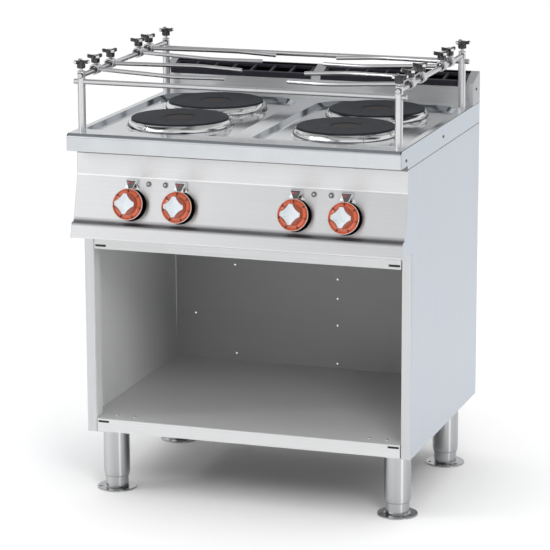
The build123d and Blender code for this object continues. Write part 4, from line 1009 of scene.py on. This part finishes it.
def studio_world():
    """White studio lit from overhead. Gloss sees walls that darken overhead and a soft box on the left."""
    world = bpy.data.worlds.new("studio")
    world.use_nodes = True
    tree = Tree(world.node_tree)
    background = world.node_tree.nodes["Background"]
    background.inputs["Color"].default_value = (1, 1, 1, 1)
    place = tree.node("ShaderNodeTexCoord").outputs["Generated"]
    parts = tree.node("ShaderNodeSeparateXYZ")
    tree.link(place, parts.inputs[0])
    height = parts.outputs["Z"]

    def fall(source, start, end, kind="SMOOTHSTEP"):
        """A level between two (from, to) pairs."""
        made = tree.node("ShaderNodeMapRange", interpolation_type=kind)
        made.inputs["From Min"].default_value, made.inputs["To Min"].default_value = start
        made.inputs["From Max"].default_value, made.inputs["To Max"].default_value = end
        tree.link(source, made.inputs["Value"])
        return made.outputs["Result"]

    def choose(factor, first, second):
        """The first level, or the second one where the factor is 1."""
        made = tree.node("ShaderNodeMix")
        tree.link(factor, made.inputs["Factor"])
        if isinstance(first, float):
            made.inputs["A"].default_value = first
        else:
            tree.link(first, made.inputs["A"])
        tree.link(second, made.inputs["B"])
        return made.outputs["Result"]

    aim = tree.node("ShaderNodeVectorMath", operation="DOT_PRODUCT")
    box = Vector((sin(SOFT_BOX_AZIMUTH), -cos(SOFT_BOX_AZIMUTH), tan(SOFT_BOX_RISE)))
    aim.inputs[1].default_value = box.normalized()
    tree.link(place, aim.inputs[0])
    walls = fall(height, (WALL_HEIGHTS[0], WALL_LEVELS[0]), (WALL_HEIGHTS[1], WALL_LEVELS[1]))
    soft_box = fall(aim.outputs["Value"], (SOFT_BOX_EDGE[0], 0.0), (SOFT_BOX_EDGE[1], SOFT_BOX_LEVEL))
    gloss = tree.math("ADD", walls, soft_box)
    above = fall(height, (0.0, 0.0), (1.0, 1.0), "LINEAR")
    dome = tree.math("MULTIPLY_ADD", tree.math("POWER", above, 2.0), DOME_TOP, DOME_BASE)
    path = tree.node("ShaderNodeLightPath")
    shown = choose(path.outputs["Is Glossy Ray"], 1.0, gloss)
    tree.link(choose(path.outputs["Is Diffuse Ray"], shown, dome), background.inputs["Strength"])
    return world


def lamp(name, place, target, size, power):
    """A soft square area lamp aimed at a point."""
    data = bpy.data.lights.new(name, "AREA")
    data.shape = "RECTANGLE"
    data.size = data.size_y = size
    data.energy = power
    made = bpy.data.objects.new(name, data)
    made.location = place
    made.rotation_mode = "QUATERNION"
    made.rotation_quaternion = (Vector(target) - Vector(place)).to_track_quat("-Z", "Y")
    scene.collection.objects.link(made)
    return made


scene.world = studio_world()
lamp("soft_key", (-4.0, -2.0, 2.9), (0, 0, 0.7), 0.5, 24)
fill = lamp("soft_fill", (2.2, -3.3, 2.9), (-0.3, 0, 0.4), 1.4, 55)
fill.visible_glossy = False

# Camera at the photograph's place and angle
PHOTO_SIZE = 550
FOCAL_PIXELS = 2737.4
SENSOR_WIDTH = 36.0
CAMERA_PLACE = (2.0093, -6.0881, 1.9973)
AZIMUTH, ELEVATION, ROLL = radians(18.36), radians(13.081), radians(-0.203)
data = bpy.data.cameras.new("camera")
data.sensor_width = SENSOR_WIDTH
data.lens = SENSOR_WIDTH * FOCAL_PIXELS / PHOTO_SIZE
data.clip_end = 100
camera = bpy.data.objects.new("camera", data)
back = Vector((sin(AZIMUTH) * cos(ELEVATION), -cos(AZIMUTH) * cos(ELEVATION), sin(ELEVATION)))
right = Vector((0, 0, 1)).cross(back).normalized()
up = back.cross(right)
cam_x = right * cos(ROLL) + up * sin(ROLL)
cam_y = up * cos(ROLL) - right * sin(ROLL)
turn = Matrix((cam_x, cam_y, back)).transposed().to_4x4()
camera.matrix_world = Matrix.Translation(CAMERA_PLACE) @ turn
scene.collection.objects.link(camera)
scene.camera = camera

scene.view_settings.view_transform = "Standard"
